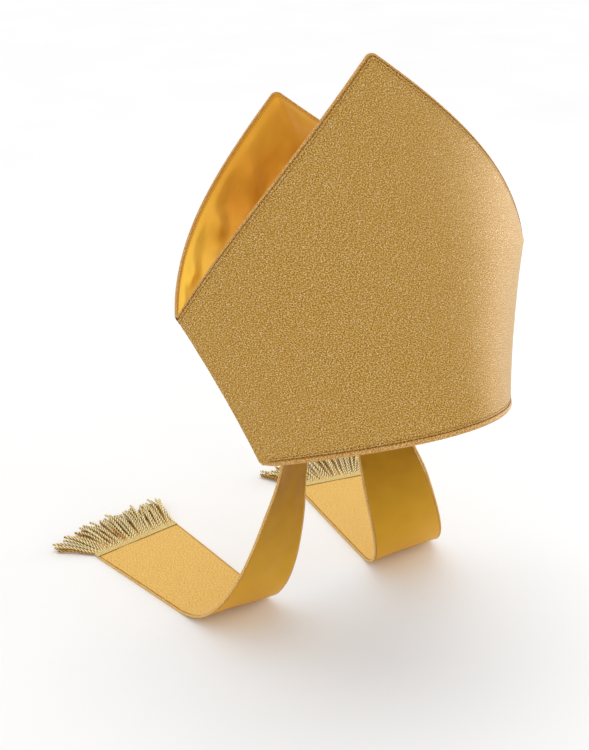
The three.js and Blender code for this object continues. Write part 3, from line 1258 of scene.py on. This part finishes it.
@dataclass
class RimEdge:
    """The corded rim and its stitched line."""

    form: HatForm
    materials: Materials
    cord: float = 4.0 * MM
    cord_sides: int = 14
    steps: int = 150
    corner_draw: float = 1.3 * MM
    corner_reach: float = 3.5 * MM
    lift: float = 0.05 * MM
    seams: tuple[tuple[float, StitchRun], ...] = (
        # The first run is nearly gapless, a solid dark line: partly seam thread, partly painted shadow of
        # the groove where the cord meets the panel.
        (4.2 * MM, StitchRun(2.8 * MM, 0.1 * MM, 0.7 * MM)),
        (6.0 * MM, StitchRun()),
    )

    def ring(self, height: float, depth: float) -> list[tuple[Vector, Vector]]:
        """Points all the way round a level of the hat, with the ways out.

        Args:
            height: the level.
            depth: how far inside the outer face.

        Returns:
            Pairs of a point and its outward direction.
        """
        lens = self.form.lens(height, depth)
        ring = []
        for side in Side:
            limit = self.form.seam_angle(lens)
            for i in range(self.steps):
                angle = mix(-limit, limit, (i + 0.5) / self.steps)
                x, y = lens.point(angle)
                drawn_in = math.exp(-(((lens.half_width - abs(x)) / self.corner_reach) ** 2))
                x *= 1.0 - self.corner_draw * drawn_in / lens.half_width
                outer = self.form.lens(height, depth - MM).point(angle)
                here = self.form.stand(-side.value * x, side.value * y, height + self.corner_draw * drawn_in)
                out = self.form.stand(-side.value * outer[0], side.value * outer[1], height) - here
                ring.append((here, out.normalized()))
        return ring

    def build(self) -> list[bpy.types.Object]:
        """Makes the rim's cord and its stitches.

        Returns:
            The two pieces.
        """
        path = [point for point, _ in self.ring(self.cord / 2, self.form.wall / 2)]
        bm = round_tube(path, self.cord / 2, self.cord_sides, closed=True)
        piping = finished_piece(bm, "rim_piping", [self.materials["rim_cord"]], ["rim_cord"])
        sewn = Bundle()
        for height, run in self.seams:
            points, outs = zip(*self.ring(height, -self.lift))
            run.sewn(points, outs, sewn)
        thread = [self.materials["stitch"]]
        return [piping, finished_piece(sewn.finished(), "rim_stitches", thread)]


# ---- The gusset ----


@dataclass(frozen=True)
class Dent:
    """A soft dent of the gusset.

    x is across the hat, side is the horn that it is nearer to, and along runs from 0 at the
    edge to 1 at the valley.
    """

    x: float
    side: Side
    along: float
    depth: float
    spread: float


@dataclass
class Gusset:
    """The soft satin that is slung between the two horns."""

    form: HatForm
    materials: Materials
    thickness: float = 1.2 * MM
    side_reach: float = 152.5 * MM
    valley_height: float = 146.0 * MM
    valley_sag: float = 34.0 * MM
    least_drop: float = 5.0 * MM
    least_room: float = 0.6 * MM
    squareness: float = 1.55
    columns: int = 150
    rows: int = 120
    cord: float = 2.4 * MM
    seam_depth: float = 1.25 * MM
    seam_ease: float = 9.0 * MM
    slack_reach: float = 14.0 * MM
    dent_share: float = 0.16
    ripple: float = 2.4 * MM
    ripples_per_m: tuple[float, float, float] = (34.0, 20.0, 34.0)
    tuck: float = 0.5 * MM
    half_length: float = 160.0 * MM
    flat_size: tuple[float, float] = (0.373, 0.314)
    flat_area: float = 0.0586
    stitch_distance: float = 1.7 * MM
    stitch_points: int = 240
    stitch_reach: float = 0.985
    search_steps: int = 800
    stitches: StitchRun = StitchRun(1.9 * MM, 1.0 * MM, 0.4 * MM)
    edge_heights: dict[float, float] = field(default_factory=dict)
    dents: tuple[Dent, ...] = (
        Dent(-146 * MM, Side.BACK, 0.55, 1.6 * MM, 3 * MM),
        Dent(-140 * MM, Side.BACK, 0.40, 1.6 * MM, 3 * MM),
        Dent(-124 * MM, Side.BACK, 0.34, 4.6 * MM, 7 * MM),
        Dent(-104 * MM, Side.BACK, 0.60, 5.0 * MM, 10 * MM),
        Dent(-86 * MM, Side.BACK, 0.32, 5.4 * MM, 8 * MM),
        Dent(-66 * MM, Side.BACK, 0.58, 4.2 * MM, 12 * MM),
        Dent(-44 * MM, Side.BACK, 0.30, 4.6 * MM, 10 * MM),
        Dent(-18 * MM, Side.BACK, 0.52, 4.4 * MM, 14 * MM),
        Dent(2 * MM, Side.BACK, 0.30, 6.0 * MM, 24 * MM),
        Dent(42 * MM, Side.BACK, 0.40, 7.0 * MM, 22 * MM),
        Dent(96 * MM, Side.BACK, 0.40, 5.5 * MM, 18 * MM),
        Dent(-64 * MM, Side.FRONT, 0.45, 6.0 * MM, 22 * MM),
        Dent(20 * MM, Side.FRONT, 0.40, 7.0 * MM, 24 * MM),
        Dent(84 * MM, Side.FRONT, 0.50, 5.5 * MM, 20 * MM),
    )

    def edge_height(self, x: float) -> float:
        """The height at which a horn's edge passes over a place across the hat.

        Args:
            x: the place across the hat.

        Returns:
            The height of the edge there, which is kept for the next time.
        """
        if x not in self.edge_heights:
            inset = self.cord - self.tuck
            low, high = 0.0, 2.0
            for _ in range(24):
                middle = (low + high) / 2
                spread, height = self.form.edge(middle, inset)
                angle = self.form.angle_at(height, spread)
                if self.form.lens(height, self.seam_depth).point(angle)[0] > abs(x):
                    low = middle
                else:
                    high = middle
            self.edge_heights[x] = self.form.edge(low, inset)[1]
        return self.edge_heights[x]

    def slice_point(self, x: float, turn: float) -> tuple[float, float]:
        """A point of the under face of one slice across the hat.

        Args:
            x: where the slice lies across the hat.
            turn: 0 at the front edge, half a turn at the back edge.

        Returns:
            The place backwards and the height, in the hat's own frame.
        """
        top = self.edge_height(x)
        lean = abs(x) / self.side_reach
        valley = min(self.valley_height - self.valley_sag * lean**2, top - self.least_drop)
        side = -math.copysign(1.0, math.cos(turn))
        power = 2.0 / self.squareness
        along = math.sin(turn) ** power
        height = top - (top - valley) * along
        inside = self.form.wall + self.form.gap + self.thickness
        depth = mix(self.seam_depth, inside, smoothstep(top - height, 0.0, self.seam_ease))
        lens = self.form.lens(top, depth)
        across = min(abs(x) / lens.half_width, 1.0)
        reach = max(lens.point(math.asin(across))[1], self.least_room)
        y = side * reach * abs(math.cos(turn)) ** power
        slack = smoothstep(top - height, 0.0, self.slack_reach)
        for dent in self.dents:
            if dent.side.value == side:
                spot = math.exp(-(((x - dent.x) / dent.spread) ** 2))
                spot *= math.exp(-(((along - dent.along) / self.dent_share) ** 2))
                y -= side * dent.depth * spot * slack
        waves = [place * per_m for place, per_m in zip((x, y, height), self.ripples_per_m)]
        y -= side * abs(noise.noise(Vector(waves)) * self.ripple) * slack
        return y, height

    def face_point(self, x: float, share: float, rise: float) -> Vector:
        """A point of the satin.

        Args:
            x: the place across the hat.
            share: 0 at the front edge, 1 at the back edge.
            rise: how far above the under face.

        Returns:
            The point in the world.
        """
        step = 0.5 / self.rows
        before = self.slice_point(x, math.pi * max(share - step, 0.0))
        after = self.slice_point(x, math.pi * min(share + step, 1.0))
        along = Vector((after[0] - before[0], after[1] - before[1])).normalized()
        y, height = self.slice_point(x, math.pi * share)
        return self.form.stand(x, y - along.y * rise, height + along.x * rise)

    def seam_share(self, x: float, side: Side) -> float:
        """Where the seam runs, just inside a horn's edge.

        Args:
            x: the place across the hat.
            side: the horn.

        Returns:
            The share from the front edge to the back edge.
        """
        end = 1.0 if side is Side.BACK else 0.0
        edge = self.face_point(x, end, self.thickness)
        share = end
        for i in range(1, self.search_steps // 4):
            share = abs(end - i / self.search_steps)
            if (self.face_point(x, share, self.thickness) - edge).length > self.stitch_distance:
                break
        return share

    def build_stitches(self) -> bpy.types.Object:
        """Sews the satin down beside both horns' cords.

        Returns:
            The stitches' piece.
        """
        sewn = Bundle()
        reach = self.stitch_reach * self.side_reach
        places = [mix(-reach, reach, i / self.stitch_points) for i in range(self.stitch_points + 1)]
        for side in Side:
            seam = [(x, self.seam_share(x, side)) for x in places]
            path = [self.face_point(x, share, self.thickness) for x, share in seam]
            under = [self.face_point(x, share, 0.0) for x, share in seam]
            ways_out = [(above - below).normalized() for above, below in zip(path, under)]
            self.stitches.sewn(path, ways_out, sewn)
        return finished_piece(sewn.finished(), "gusset_stitches", [self.materials["satin_stitch"]])

    def build(self) -> bpy.types.Object:
        """Hangs the satin.

        Returns:
            The gusset's piece.
        """

        def under(u: float, v: float) -> Vector:
            """A point of the face that looks down into the hat."""
            return self.face_point((2.0 * u - 1.0) * self.side_reach, v, 0.0)

        def over(u: float, v: float) -> Vector:
            """A point of the face that shows between the horns."""
            return self.face_point((2.0 * u - 1.0) * self.side_reach, v, self.thickness)

        def flat(u: float, v: float) -> tuple[float, float]:
            """The flat place of a point."""
            return (2.0 * u - 1.0) * self.side_reach, (2.0 * v - 1.0) * self.half_length

        bm = cloth_wall(self.columns, self.rows, over, under, flat)
        materials = [self.materials["gusset"], self.materials["lining"]]
        piece = finished_piece(bm, "gusset_satin", materials, ["gusset"])
        self.flat_area
        return piece


# ---- The lappets ----


@dataclass(frozen=True)
class Turning:
    """How a lappet is turned at a place along it, in degrees."""

    at: float
    bearing: float
    splay: float


@dataclass(frozen=True)
class Station:
    """A place on the lappet's middle line with its directions."""

    place: Vector
    along: Vector
    across: Vector
    normal: Vector


@dataclass
class Lappet:
    """A band that hangs from the back rim, bends and lies on the table."""

    form: HatForm
    hand: Hand
    materials: Materials
    table: float
    root_x: float = 38.0 * MM
    root_width: float = 44.0 * MM
    root_spread: float = 0.4
    end_width: float = 84.4 * MM
    length: float = 322.7 * MM
    bend_length: float = 193.6 * MM
    bend_power: float = 4.51
    bend_ease: float = 18.0 * MM
    root_lean: float = 2.9
    end_x: float = 109.7 * MM
    end_y: float = 241.8 * MM
    blend_length: float = 70.0 * MM
    thickness: float = 2.0 * MM
    cord: float = 2.2 * MM
    cord_sides: int = 10
    columns: int = 36
    rows: int = 130
    line_steps: int = 400
    cord_steps: int = 160
    unevenness: float = 1.2 * MM
    lying_share: float = 0.6
    pucker: float = 0.25 * MM
    pucker_reach: float = 0.10
    lying_ease: float = 40.0 * MM
    stitch_inset: float = 1.1 * MM
    stitch_lift: float = 0.05 * MM
    # The stitch lines beside the cords are sewing thread that also deepens the dark line in the ditch by
    # each cord: partly painted shade.
    stitches: StitchRun = StitchRun(1.9 * MM, 0.6 * MM, 0.38 * MM)
    turnings: tuple[Turning, ...] = (
        Turning(0.0, -36.5, 14.8),
        Turning(193.6 * MM, 7.7, 16.3),
        Turning(322.7 * MM, 6.9, 16.3),
    )
    line: list[Station] = field(default_factory=list)

    def __post_init__(self) -> None:
        """Steps out the middle line, then moves it so that its end lies in place."""
        place = Vector((0.0, 0.0, 0.0))
        ats = [turning.at for turning in self.turnings]
        bearings = [turning.bearing for turning in self.turnings]
        splays = [turning.splay for turning in self.turnings]
        for i in range(self.line_steps + 1):
            at = self.length * i / self.line_steps
            lean = math.radians(mix(self.root_lean, 90.0, self.turned_at(at)))
            bearing = math.radians(float(np.interp(at, ats, bearings)))
            splay = math.radians(float(np.interp(at, ats, splays)))
            away = Vector((math.sin(bearing), math.cos(bearing), 0.0))
            sideways = Vector((math.cos(bearing), -math.sin(bearing), 0.0))
            along = Vector((0.0, 0.0, -1.0)) * math.cos(lean) + away * math.sin(lean)
            along = (along * math.cos(splay) - sideways * math.sin(splay)).normalized()
            normal = along.cross(sideways).normalized()
            across = normal.cross(along).normalized()
            self.line.append(Station(place.copy(), along, across, normal))
            place += along * (self.length / self.line_steps)
        end = self.line[-1].place
        shift = Vector((-self.end_x - end.x, self.end_y - end.y, self.lying_level - end.z))
        self.line = [Station(s.place + shift, s.along, s.across, s.normal) for s in self.line]

    @property
    def name(self) -> str:
        """The lappet's name."""
        return f"{self.hand.name.lower()}_lappet"

    def turned_at(self, at: float) -> float:
        """How far the cloth has turned from hanging (0) to lying flat (1)."""
        near = np.clip(at + np.linspace(-self.bend_ease, self.bend_ease, 17), 0.0, self.bend_length)
        return float(np.mean((near / self.bend_length) ** self.bend_power))

    @property
    def lying_level(self) -> float:
        """The middle of the cloth where it lies on the table."""
        return self.table + self.cord / 2

    def mirrored(self, point: Vector) -> Vector:
        """A point of the right lappet, moved to this one."""
        return Vector((-self.hand.value * point.x, point.y, point.z))

    def root_point(self, across: float) -> Vector:
        """Where the cloth leaves the rim.

        Args:
            across: from -1 at the outer edge to 1 at the inner one.

        Returns:
            The point, as if on the right.
        """
        lens = self.form.lens(0.0, self.form.wall / 2)
        x = -self.root_x + across * self.root_width * self.root_spread
        px, py = lens.point(math.asin(x / lens.half_width))
        return self.form.stand(px, py, -2.0 * self.form.gap)

    def sheet_point(self, at: float, across: float, overhang: float = 0.0) -> tuple[Vector, Station]:
        """A point of the lappet's middle sheet, as if on the right.

        Args:
            at: how far along the cloth from the rim.
            across: from -1 at the outer edge to 1 at the inner one.
            overhang: how far beyond the edge.

        Returns:
            The point, and the station that gives its directions.
        """
        station = self.line[round(at / self.length * (len(self.line) - 1))]
        half = mix(self.root_width, self.end_width, at / self.length) / 2
        free = station.place + station.across * (across * half)
        hung = self.root_point(across) + station.place - self.line[0].place
        share = smoothstep(at, 0.0, self.blend_length)
        point = hung.lerp(free, share) + station.across * math.copysign(overhang, across)
        point.z = max(point.z, self.lying_level)
        return point, station

    def ripple(self, at: float, across: float) -> float:
        """How far the cloth's unevenness lifts it off its ideal sheet.

        Args:
            at: how far along the cloth from the rim.
            across: from -1 at the outer edge to 1 at the inner one.

        Returns:
            The height in metres.
        """
        seed = 11.0 * self.hand.value
        broad = noise.noise(Vector((at * 16.0, across * 1.3, seed))) * self.unevenness
        edge = math.exp(-(1.0 - abs(across)) / self.pucker_reach)
        gathers = noise.noise(Vector((at * 150.0, across * 4.0, 5.0))) * self.pucker * edge
        lying = smoothstep(at, self.bend_length - self.lying_ease, self.bend_length)
        level = abs(broad) * self.lying_share if lying > 0.5 else broad
        return level * (1.0 - edge) + gathers

    def face_point(self, at: float, across: float, rise: float, overhang: float = 0.0) -> Vector:
        """A point above or below the middle sheet, on this lappet's own side.

        Args:
            at: how far along the cloth from the rim.
            across: from -1 at the outer edge to 1 at the inner one.
            rise: how far along the normal.
            overhang: how far beyond the edge.

        Returns:
            The point in the world.
        """
        point, station = self.sheet_point(at, across, overhang)
        return self.mirrored(point + station.normal * (rise - self.ripple(at, across)))

    @property
    def gold_side(self) -> float:
        """The sign of the normal on the gold face, which is up where the cloth lies."""
        return math.copysign(1.0, self.line[-1].normal.z)

    def build_sheet(self) -> bpy.types.Object:
        """Makes the cloth, gold outside and satin inside.

        Returns:
            The piece.
        """
        rise = self.gold_side * self.thickness / 2

        def outer(u: float, v: float) -> Vector:
            """A point of the gold face."""
            return self.face_point(v * self.length, 2.0 * u - 1.0, rise)

        def inner(u: float, v: float) -> Vector:
            """A point of the satin face."""
            return self.face_point(v * self.length, 2.0 * u - 1.0, -rise)

        def flat(u: float, v: float) -> tuple[float, float]:
            """The flat place of a point."""
            half = mix(self.root_width, self.end_width, v) / 2
            return (2.0 * u - 1.0) * half, v * self.length

        bm = cloth_wall(self.columns, self.rows, outer, inner, flat)
        materials = [self.materials["lappet"], self.materials["lappet_lining"]]
        piece = finished_piece(bm, f"{self.name}_cloth", materials, [self.name])
        return piece

    def build_cords(self) -> list[bpy.types.Object]:
        """Makes the corded long edges.

        Returns:
            The two pieces.
        """
        made = []
        ats = [self.length * i / self.cord_steps for i in range(self.cord_steps + 1)]
        beyond = self.cord / 2 + self.form.gap / 2
        for edge, where in ((-1.0, "outer"), (1.0, "inner")):
            path = [self.mirrored(self.sheet_point(at, edge, beyond)[0]) for at in ats]
            bm = round_tube(path, self.cord / 2, self.cord_sides)
            name = f"{self.name}_{where}"
            material = self.materials["lappet_cord"]
            made.append(finished_piece(bm, f"{name}_piping", [material], [f"{name}_cord"]))
        return made

    def build_stitches(self) -> bpy.types.Object:
        """Sews the cords on, with a line of thread on both faces of both edges.

        Returns:
            The piece.
        """
        sewn = Bundle()
        ats = [self.length * i / self.cord_steps for i in range(self.cord_steps + 1)]
        for edge, face in product((-1.0, 1.0), repeat=2):
            rise = face * (self.thickness / 2 + self.stitch_lift)
            path = [self.face_point(at, edge, rise, -self.stitch_inset) for at in ats]
            ways_out = [self.mirrored(self.sheet_point(at, edge)[1].normal * face) for at in ats]
            self.stitches.sewn(path, ways_out, sewn)
        thread = [self.materials["lappet_stitch"]]
        return finished_piece(sewn.finished(), f"{self.name}_stitches", thread)


@dataclass(frozen=True)
class Rope:
    """A cord of two plies twisted round each other."""

    thickness: float
    pitch: float
    steps_a_turn: int = 8
    lobes: tuple[float, ...] = (0.5, 0.46, 0.31, 0.2, 0.31, 0.46)
    end_shares: tuple[float, ...] = (0.7, 1.05, 1.12, 1.08, 1.0)

    @property
    def spacing(self) -> float:
        """The space between two points of its path."""
        return self.pitch / self.steps_a_turn

    def laid(self, path: Sequence[Vector], phase: float, material: int = 0) -> bmesh.types.BMesh:
        """Twists the cord along a path.

        Args:
            path: the points along its middle, evenly spaced.
            phase: where its twist begins, in radians.
            material: the faces' material number.

        Returns:
            The cord's closed mesh.
        """
        bm = bmesh.new()
        frames = path_frames(path)
        steps = len(path) - 1
        step = (path[1] - path[0]).length
        sides = 2 * len(self.lobes)

        def place(across: float, along: float) -> Vector:
            """A point of the cord's face.

            Args:
                across: the share round.
                along: the share of the path.

            Returns:
                The point.
            """
            side, index = round(across * sides), round(along * steps)
            from_end = min(index, steps - index, len(self.end_shares) - 1)
            reach = self.thickness * self.lobes[side % len(self.lobes)] * self.end_shares[from_end]
            turn = 2.0 * math.pi * (side / sides + index * step / self.pitch) + phase
            return frames[index] @ spoke(reach, turn)

        grid_patch(bm, sides, steps, place, lambda u, v: (u * ROPE_GIRTH, v * steps * step))
        weld(bm, capped=True)
        for face in bm.faces:
            face.material_index = material
        return bm


@dataclass
class Fringe:
    """A braid across the lappet's end, and its lying strands of twisted bullion."""

    lappet: Lappet
    materials: Materials
    seed: int
    inner_lean: float
    heading_width: float = 8.6 * MM
    heading_rows: int = 5
    heading_twist: float = 2.6 * MM
    heading_height: float = 2.0 * MM
    seam_height: float = 2.35 * MM
    seam_place: float = -0.2 * MM
    seam_steps: int = 60
    seam: StitchRun = StitchRun(2.6 * MM, 0.2 * MM, 0.7 * MM)
    reach: float = 0.98
    strand: Rope = Rope(2.5 * MM, 7.0 * MM)
    layers: tuple[int, ...] = (60, 37)
    length: float = 43.0 * MM
    lengths: tuple[float, float] = (0.84, 1.02)
    outer_lean: float = 42.0
    fan: float = 1.0
    stray: float = 4.0
    clump: float = 6.0
    bend: float = 9.0
    layer_lift: float = 2.0 * MM
    lift: float = 1.6 * MM
    layer_tip: float = 3.2 * MM
    tip: float = 2.2 * MM
    root_lift: float = 0.8 * MM

    @property
    def name(self) -> str:
        """The fringe's name."""
        return f"{self.lappet.hand.name.lower()}_fringe"

    def end_point(self, across: float, beyond: float, up: float) -> Vector:
        """A point beyond the lappet's end, as if on the right.

        Args:
            across: from -1 to 1 along the heading.
            beyond: how far beyond the cloth's end.
            up: how far above the table.

        Returns:
            The point in the world.
        """
        end = self.lappet.line[-1]
        half = self.lappet.end_width / 2 + self.lappet.cord
        point = end.place + end.across * (across * half) + end.along * beyond
        point.z = self.lappet.table + up
        return point

    def strand_path(self, across: float, layer: int, chance: random.Random) -> list[Vector]:
        """The way one strand lies.

        Args:
            across: where it starts along the heading, -1 to 1.
            layer: 0 on the table, 1 above the others.
            chance: the source of its waywardness.

        Returns:
            Points along its middle.
        """
        end = self.lappet.line[-1]
        share_across = (across + 1.0) / 2.0
        fanned = 1.0 - (1.0 - min(share_across, 1.0)) ** self.fan
        lean = mix(-self.outer_lean, self.inner_lean, fanned) + chance.gauss(0.0, self.stray)
        clump = noise.noise(Vector((across * 5.0, layer * 3.0, self.seed))) * self.clump
        heading = math.atan2(end.along.y, end.along.x) - math.radians(lean + clump)
        bend = math.radians(chance.gauss(0.0, self.bend))
        reach = self.length * chance.uniform(*self.lengths)
        lift = layer * self.layer_lift + abs(chance.gauss(0.0, 1.0)) * self.lift
        tip = layer * self.layer_tip + abs(chance.gauss(0.0, 1.0)) * self.tip
        steps = round(reach / self.strand.spacing)
        point = self.end_point(across, self.heading_width * 0.7, 0.0)
        path = []
        for i in range(steps + 1):
            share = i / steps
            way = heading - bend * (share - 0.3)
            raised = lift * math.sin(math.pi * share) + tip * smoothstep(share, 0.2, 1.0)
            height = self.strand.thickness * 0.52 + raised + self.root_lift * (1.0 - share)
            path.append(Vector((point.x, point.y, self.lappet.table + height)))
            point = point + Vector((math.cos(way), math.sin(way), 0.0)) * (reach / steps)
        return path

    def build_heading(self) -> bpy.types.Object:
        """Makes the braid that holds the strands.

        Returns:
            The piece.
        """
        braid = Bundle()
        width = self.heading_width / self.heading_rows
        rope = Rope(width * 1.3, self.heading_twist)
        for row in range(self.heading_rows):
            beyond = self.lappet.form.gap + width * (row + 0.5)
            start, end = (self.end_point(across, beyond, self.heading_height) for across in (-1.0, 1.0))
            count = round((end - start).length / rope.spacing)
            path = [self.lappet.mirrored(start.lerp(end, i / count)) for i in range(count + 1)]
            braid.take(rope.laid(path, row * 0.9))
        materials, nodes = [self.materials["braid"]], [f"{self.name}_heading"]
        return finished_piece(braid.finished(), f"{self.name}_braid", materials, nodes)

    def build_seam(self) -> bpy.types.Object:
        """Makes the line of stitches that holds the braid to the lappet.

        Returns:
            The piece.
        """
        sewn = Bundle()
        places = [mix(-self.reach, self.reach, i / self.seam_steps) for i in range(self.seam_steps + 1)]
        path = [self.lappet.mirrored(self.end_point(x, self.seam_place, self.seam_height)) for x in places]
        self.seam.sewn(path, [Vector((0.0, 0.0, 1.0))] * len(path), sewn)
        thread = [self.materials["lappet_stitch"]]
        return finished_piece(sewn.finished(), f"{self.name}_seam", thread)

    def build_strands(self) -> bpy.types.Object:
        """Makes the strands, layer by layer.

        Returns:
            The piece.
        """
        chance = random.Random(self.seed)
        strands = Bundle()
        for layer, count in enumerate(self.layers):
            for i in range(count):
                across = mix(-self.reach, self.reach, (i + 0.5) / count) + chance.gauss(0.0, 0.006)
                path = [self.lappet.mirrored(point) for point in self.strand_path(across, layer, chance)]
                strands.take(self.strand.laid(path, chance.uniform(0.0, 6.0), layer))
        # The lower layer wears the darker copy of the bullion: painted shade under the upper strands.
        materials = [self.materials["under_bullion"], self.materials["bullion"]]
        return finished_piece(strands.finished(), f"{self.name}_strands", materials, [self.name])


# ---- The studio ----


@dataclass
class Studio:
    """The floor, the soft lights and the camera."""

    table: float
    azimuth: float = -30.84
    elevation: float = 25.45
    distance: float = 1.0768
    aim_right: float = -74.0 * MM
    aim_up: float = 42.9 * MM
    lens: float = 67.2
    sensor: float = 36.0
    floor_reach: float = 8.0
    side_place: tuple[float, float, float] = (1.3, 0.12, 0.08)
    side_aim: tuple[float, float, float] = (0.0, 0.05, 0.03)
    side_size: float = 0.55
    side_power: float = 3.9
    top_way: tuple[float, float, float] = (0.1, 0.15, 1.0)
    top_strength: float = 0.5
    top_softness: float = math.radians(50.0)
    world_strength: float = 0.88

    def build_camera(self) -> None:
        """Places the camera."""
        turn, rise = math.radians(self.azimuth), math.radians(self.elevation)
        back = Vector((math.sin(turn) * math.cos(rise), -math.cos(turn) * math.cos(rise), math.sin(rise)))
        right = Vector((math.cos(turn), math.sin(turn), 0.0))
        up = back.cross(right)
        data = bpy.data.cameras.new("camera")
        data.lens = self.lens
        data.sensor_width = self.sensor
        camera = placed("camera", data)
        place = right * self.aim_right + up * self.aim_up + back * self.distance
        turned = Matrix((right, up, back)).transposed().to_4x4()
        camera.matrix_world = Matrix.Translation(place) @ turned
        bpy.context.scene.camera = camera

    def build_floor(self) -> None:
        """Lays the floor at the table's height."""
        bm = bmesh.new()
        bmesh.ops.create_grid(bm, x_segments=1, y_segments=1, size=self.floor_reach)
        bmesh.ops.translate(bm, verts=bm.verts[:], vec=(0.0, 0.0, self.table))
        floor = placed("floor", mesh_of(bm, "floor", [FloorFinish().material()]))

    @staticmethod
    def facing(way: Vector) -> Euler:
        """The turn of a light that stands in a direction and shines back from it."""
        return way.to_track_quat("Z", "Y").to_euler()

    def build_lights(self) -> None:
        """Adds a soft box at the wearer's left, a broad light from above and an even white room."""
        side = bpy.data.lights.new("side", "AREA")
        side.size = self.side_size
        side.energy = self.side_power
        box = placed("side", side)
        box.location = self.side_place
        box.rotation_euler = self.facing(Vector(self.side_place) - Vector(self.side_aim))
        top = bpy.data.lights.new("top", "SUN")
        top.angle = self.top_softness
        top.energy = self.top_strength
        placed("top", top).rotation_euler = self.facing(Vector(self.top_way))
        world = bpy.data.worlds.new("studio")
        world.use_nodes = True
        background = world.node_tree.nodes["Background"]
        background.inputs["Color"].default_value = WHITE
        background.inputs["Strength"].default_value = self.world_strength
        bpy.context.scene.world = world
        bpy.context.scene.view_settings.view_transform = "Standard"

    def build(self) -> None:
        """Sets up the whole studio."""
        self.build_camera()
        self.build_floor()
        self.build_lights()


# ---- Assembly ----


def main() -> None:
    """Builds the mitre in the order in which it is sewn."""
    logging.basicConfig(level=logging.INFO, format="%(name)s: %(message)s")
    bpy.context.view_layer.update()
    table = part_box("right_fringe")[0].z
    materials = Wardrobe().materials()
    form = HatForm()
    for side in Side:
        Panel(form, side, materials).build()
        HornEdge(form, side, materials).build()
    RimEdge(form, materials).build()
    gusset = Gusset(form, materials)
    gusset.build()
    gusset.build_stitches()
    for seed, hand in enumerate(Hand, 11):
        lappet = Lappet(form, hand, materials, table)
        lappet.build_sheet()
        lappet.build_cords()
        lappet.build_stitches()
        inner_lean, fan = (16.0, 2.4) if hand is Hand.RIGHT else (46.0, 1.0)
        fringe = Fringe(lappet, materials, seed, inner_lean, fan=fan)
        fringe.build_heading()
        fringe.build_seam()
        fringe.build_strands()
    Studio(table).build()


if __name__ == "__main__":
    main()
